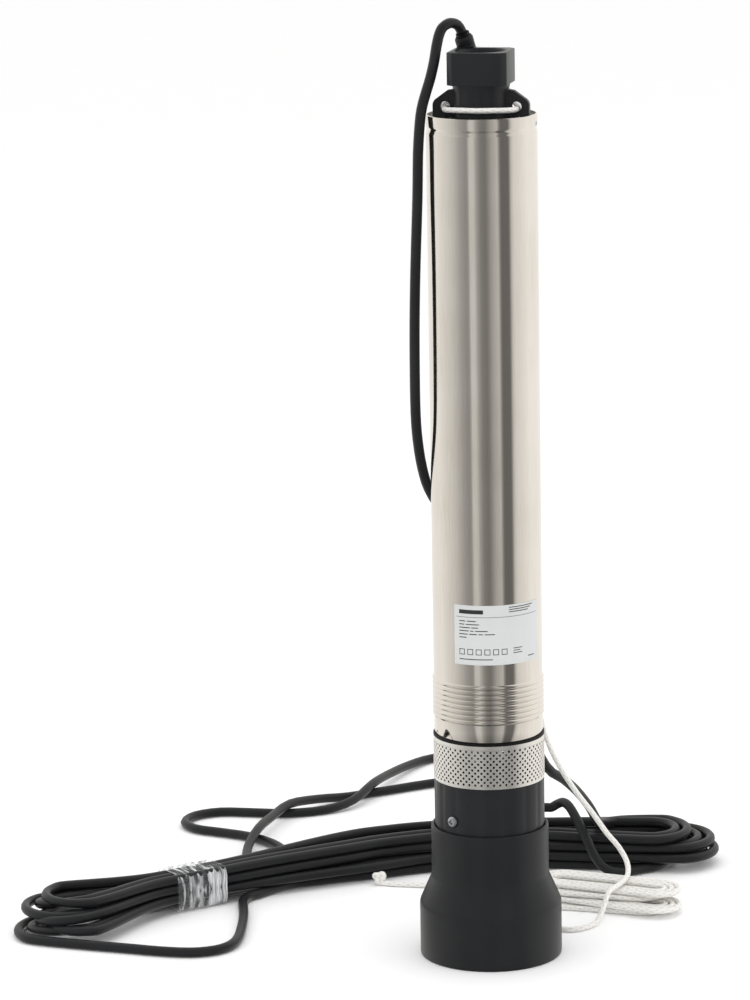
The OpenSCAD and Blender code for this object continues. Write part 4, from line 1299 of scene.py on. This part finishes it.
@dataclass
class Studio:
    """Camera, floor, lights and the white surroundings of the photograph."""

    place: Point = (-0.096846, -3.587203, 1.161833)
    pitch: float = 11.8
    roll: float = -1.0
    lens: float = 151.2
    floor_half: float = 22.0

    def camera(self) -> None:
        """Sets the long lens camera in front of the pump."""
        p, r = math.radians(self.pitch), math.radians(self.roll)
        right0, up0 = Vector((1, 0, 0)), Vector((0, math.sin(p), math.cos(p)))
        right = right0 * math.cos(r) + up0 * math.sin(r)
        up = up0 * math.cos(r) - right0 * math.sin(r)
        data = bpy.data.cameras.new("photo_camera")
        data.lens, data.sensor_width = self.lens, 36.0
        data.clip_end = 80.0
        camera = bpy.data.objects.new("photo_camera", data)
        turn = Matrix((right, up, right.cross(up))).transposed().to_4x4()
        camera.matrix_world = Matrix.Translation(self.place) @ turn
        bpy.context.scene.collection.objects.link(camera)
        bpy.context.scene.camera = camera

    def floor(self) -> None:
        """Lays a wide pale floor under the object, which mirrors don't see."""
        mesh = bpy.data.meshes.new("studio_floor")
        corners = [(-1, -1), (1, -1), (1, 1), (-1, 1)]
        mesh.from_pydata([(x * self.floor_half, y * self.floor_half, 0) for x, y in corners], [], [(0, 1, 2, 3)])
        mesh.materials.append(FLOOR.material())
        floor = placed("studio_floor", mesh)
        floor.visible_glossy = False

    def lights(self) -> None:
        """Hangs weak soft boxes left, right and above."""
        for name, spot, aim, size, power in [
                ("left_softbox", (-2.2, -1.6, 1.6), (0, 0, 0.4), 1.6, 9.0),
                ("right_softbox", (2.4, -1.0, 1.3), (0, 0, 0.4), 1.4, 7.0),
                ("top_softbox", (0.2, 0.3, 3.0), (0, 0.1, 0.2), 2.4, 16.0)]:
            data = bpy.data.lights.new(name, "AREA")
            data.shape, data.size, data.energy = "SQUARE", size, power
            light = bpy.data.objects.new(name, data)
            light.location = spot
            light.rotation_euler = (Vector(aim) - Vector(spot)).to_track_quat("-Z", "Y").to_euler()
            light.visible_glossy = False
            bpy.context.scene.collection.objects.link(light)

    def world(self) -> None:
        """Gives white surroundings, with the studio's upright bands in reflections only."""
        world = bpy.data.worlds.new("white_studio")
        world.use_nodes = True
        tree = world.node_tree
        tree.nodes.clear()
        way = add(tree, "ShaderNodeTexCoord").outputs["Generated"]
        axes = add(tree, "ShaderNodeSeparateXYZ", {0: way}).outputs
        back = add(tree, "ShaderNodeMath", {0: axes["Y"], 1: -1.0}, operation="MULTIPLY").outputs[0]
        angle = add(tree, "ShaderNodeMath", {0: axes["X"], 1: back}, operation="ARCTAN2").outputs[0]
        part = add(tree, "ShaderNodeMapRange", {
            "Value": angle, "From Min": -math.pi, "From Max": math.pi}).outputs[0]
        ramp = add(tree, "ShaderNodeValToRGB", {"Fac": part})
        bands = [
            (-180, 0.98), (-113, 0.95), (-100, 0.86), (-88, 0.78), (-75, 0.7), (-62, 0.57), (-49, 0.4),
            (-37, 0.31), (-32, 0.33), (-28, 0.64), (-20, 0.64), (-14, 0.4), (-6, 0.24), (4, 0.2), (9, 0.26),
            (14, 0.37), (20, 0.46), (30, 0.56), (33, 0.3), (37, 0.155), (54, 0.16), (60, 0.6), (66, 0.77),
            (80, 0.84), (92, 0.92), (106, 1.0), (180, 1.0)]
        stops = ramp.color_ramp.elements
        while len(stops) < len(bands):
            stops.new(0.5)
        for stop, (deg, level) in zip(stops, bands):
            stop.position = (deg + 180) / 360
            stop.color = (level, level * 0.985, level * 0.96, 1)
        rays = add(tree, "ShaderNodeLightPath").outputs
        white = add(tree, "ShaderNodeBackground", {"Color": (1, 1, 1, 1), "Strength": 1.0}).outputs[0]
        dim = add(tree, "ShaderNodeMapRange", {
            "Value": axes["Z"], "From Min": -0.9, "From Max": -0.5, "To Min": 0.45, "To Max": 1.0}).outputs[0]
        banded = add(tree, "ShaderNodeBackground", {"Color": ramp.outputs[0], "Strength": dim}).outputs[0]
        clear = add(tree, "ShaderNodeMath", {0: rays["Is Camera Ray"], 1: rays["Is Transmission Ray"]},
                    operation="MAXIMUM").outputs[0]
        glossy = add(tree, "ShaderNodeMixShader", {0: rays["Is Glossy Ray"], 1: white, 2: banded}).outputs[0]
        mixed = add(tree, "ShaderNodeMixShader", {0: clear, 1: glossy, 2: white}).outputs[0]
        add(tree, "ShaderNodeOutputWorld", {"Surface": mixed})
        bpy.context.scene.world = world

    def build(self) -> None:
        """Sets up the whole studio."""
        self.camera()
        self.floor()
        self.lights()
        self.world()
        bpy.context.scene.view_settings.view_transform = "Standard"


def dress_nodes() -> None:
    """Gives every CAD node the material of its slot."""
    for part in frame["record"]["subparts"]:
        node = NODES[part["node"]]
        material = FINISHES[part["material_slot"]].material()
        if not node.material_slots:
            node.data.materials.append(material)
        for slot in node.material_slots:
            slot.material = material


def main() -> None:
    """Builds the looks around the frame."""
    logging.basicConfig(level=logging.INFO)
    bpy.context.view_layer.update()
    Studio().build()
    dress_nodes()
    repeat = Repeat()
    Cords().build(Plug().build(repeat))
    Base().build(repeat)
    Casing().build()
    Head().build()
    Tape().build()


if __name__ == "__main__":
    main()
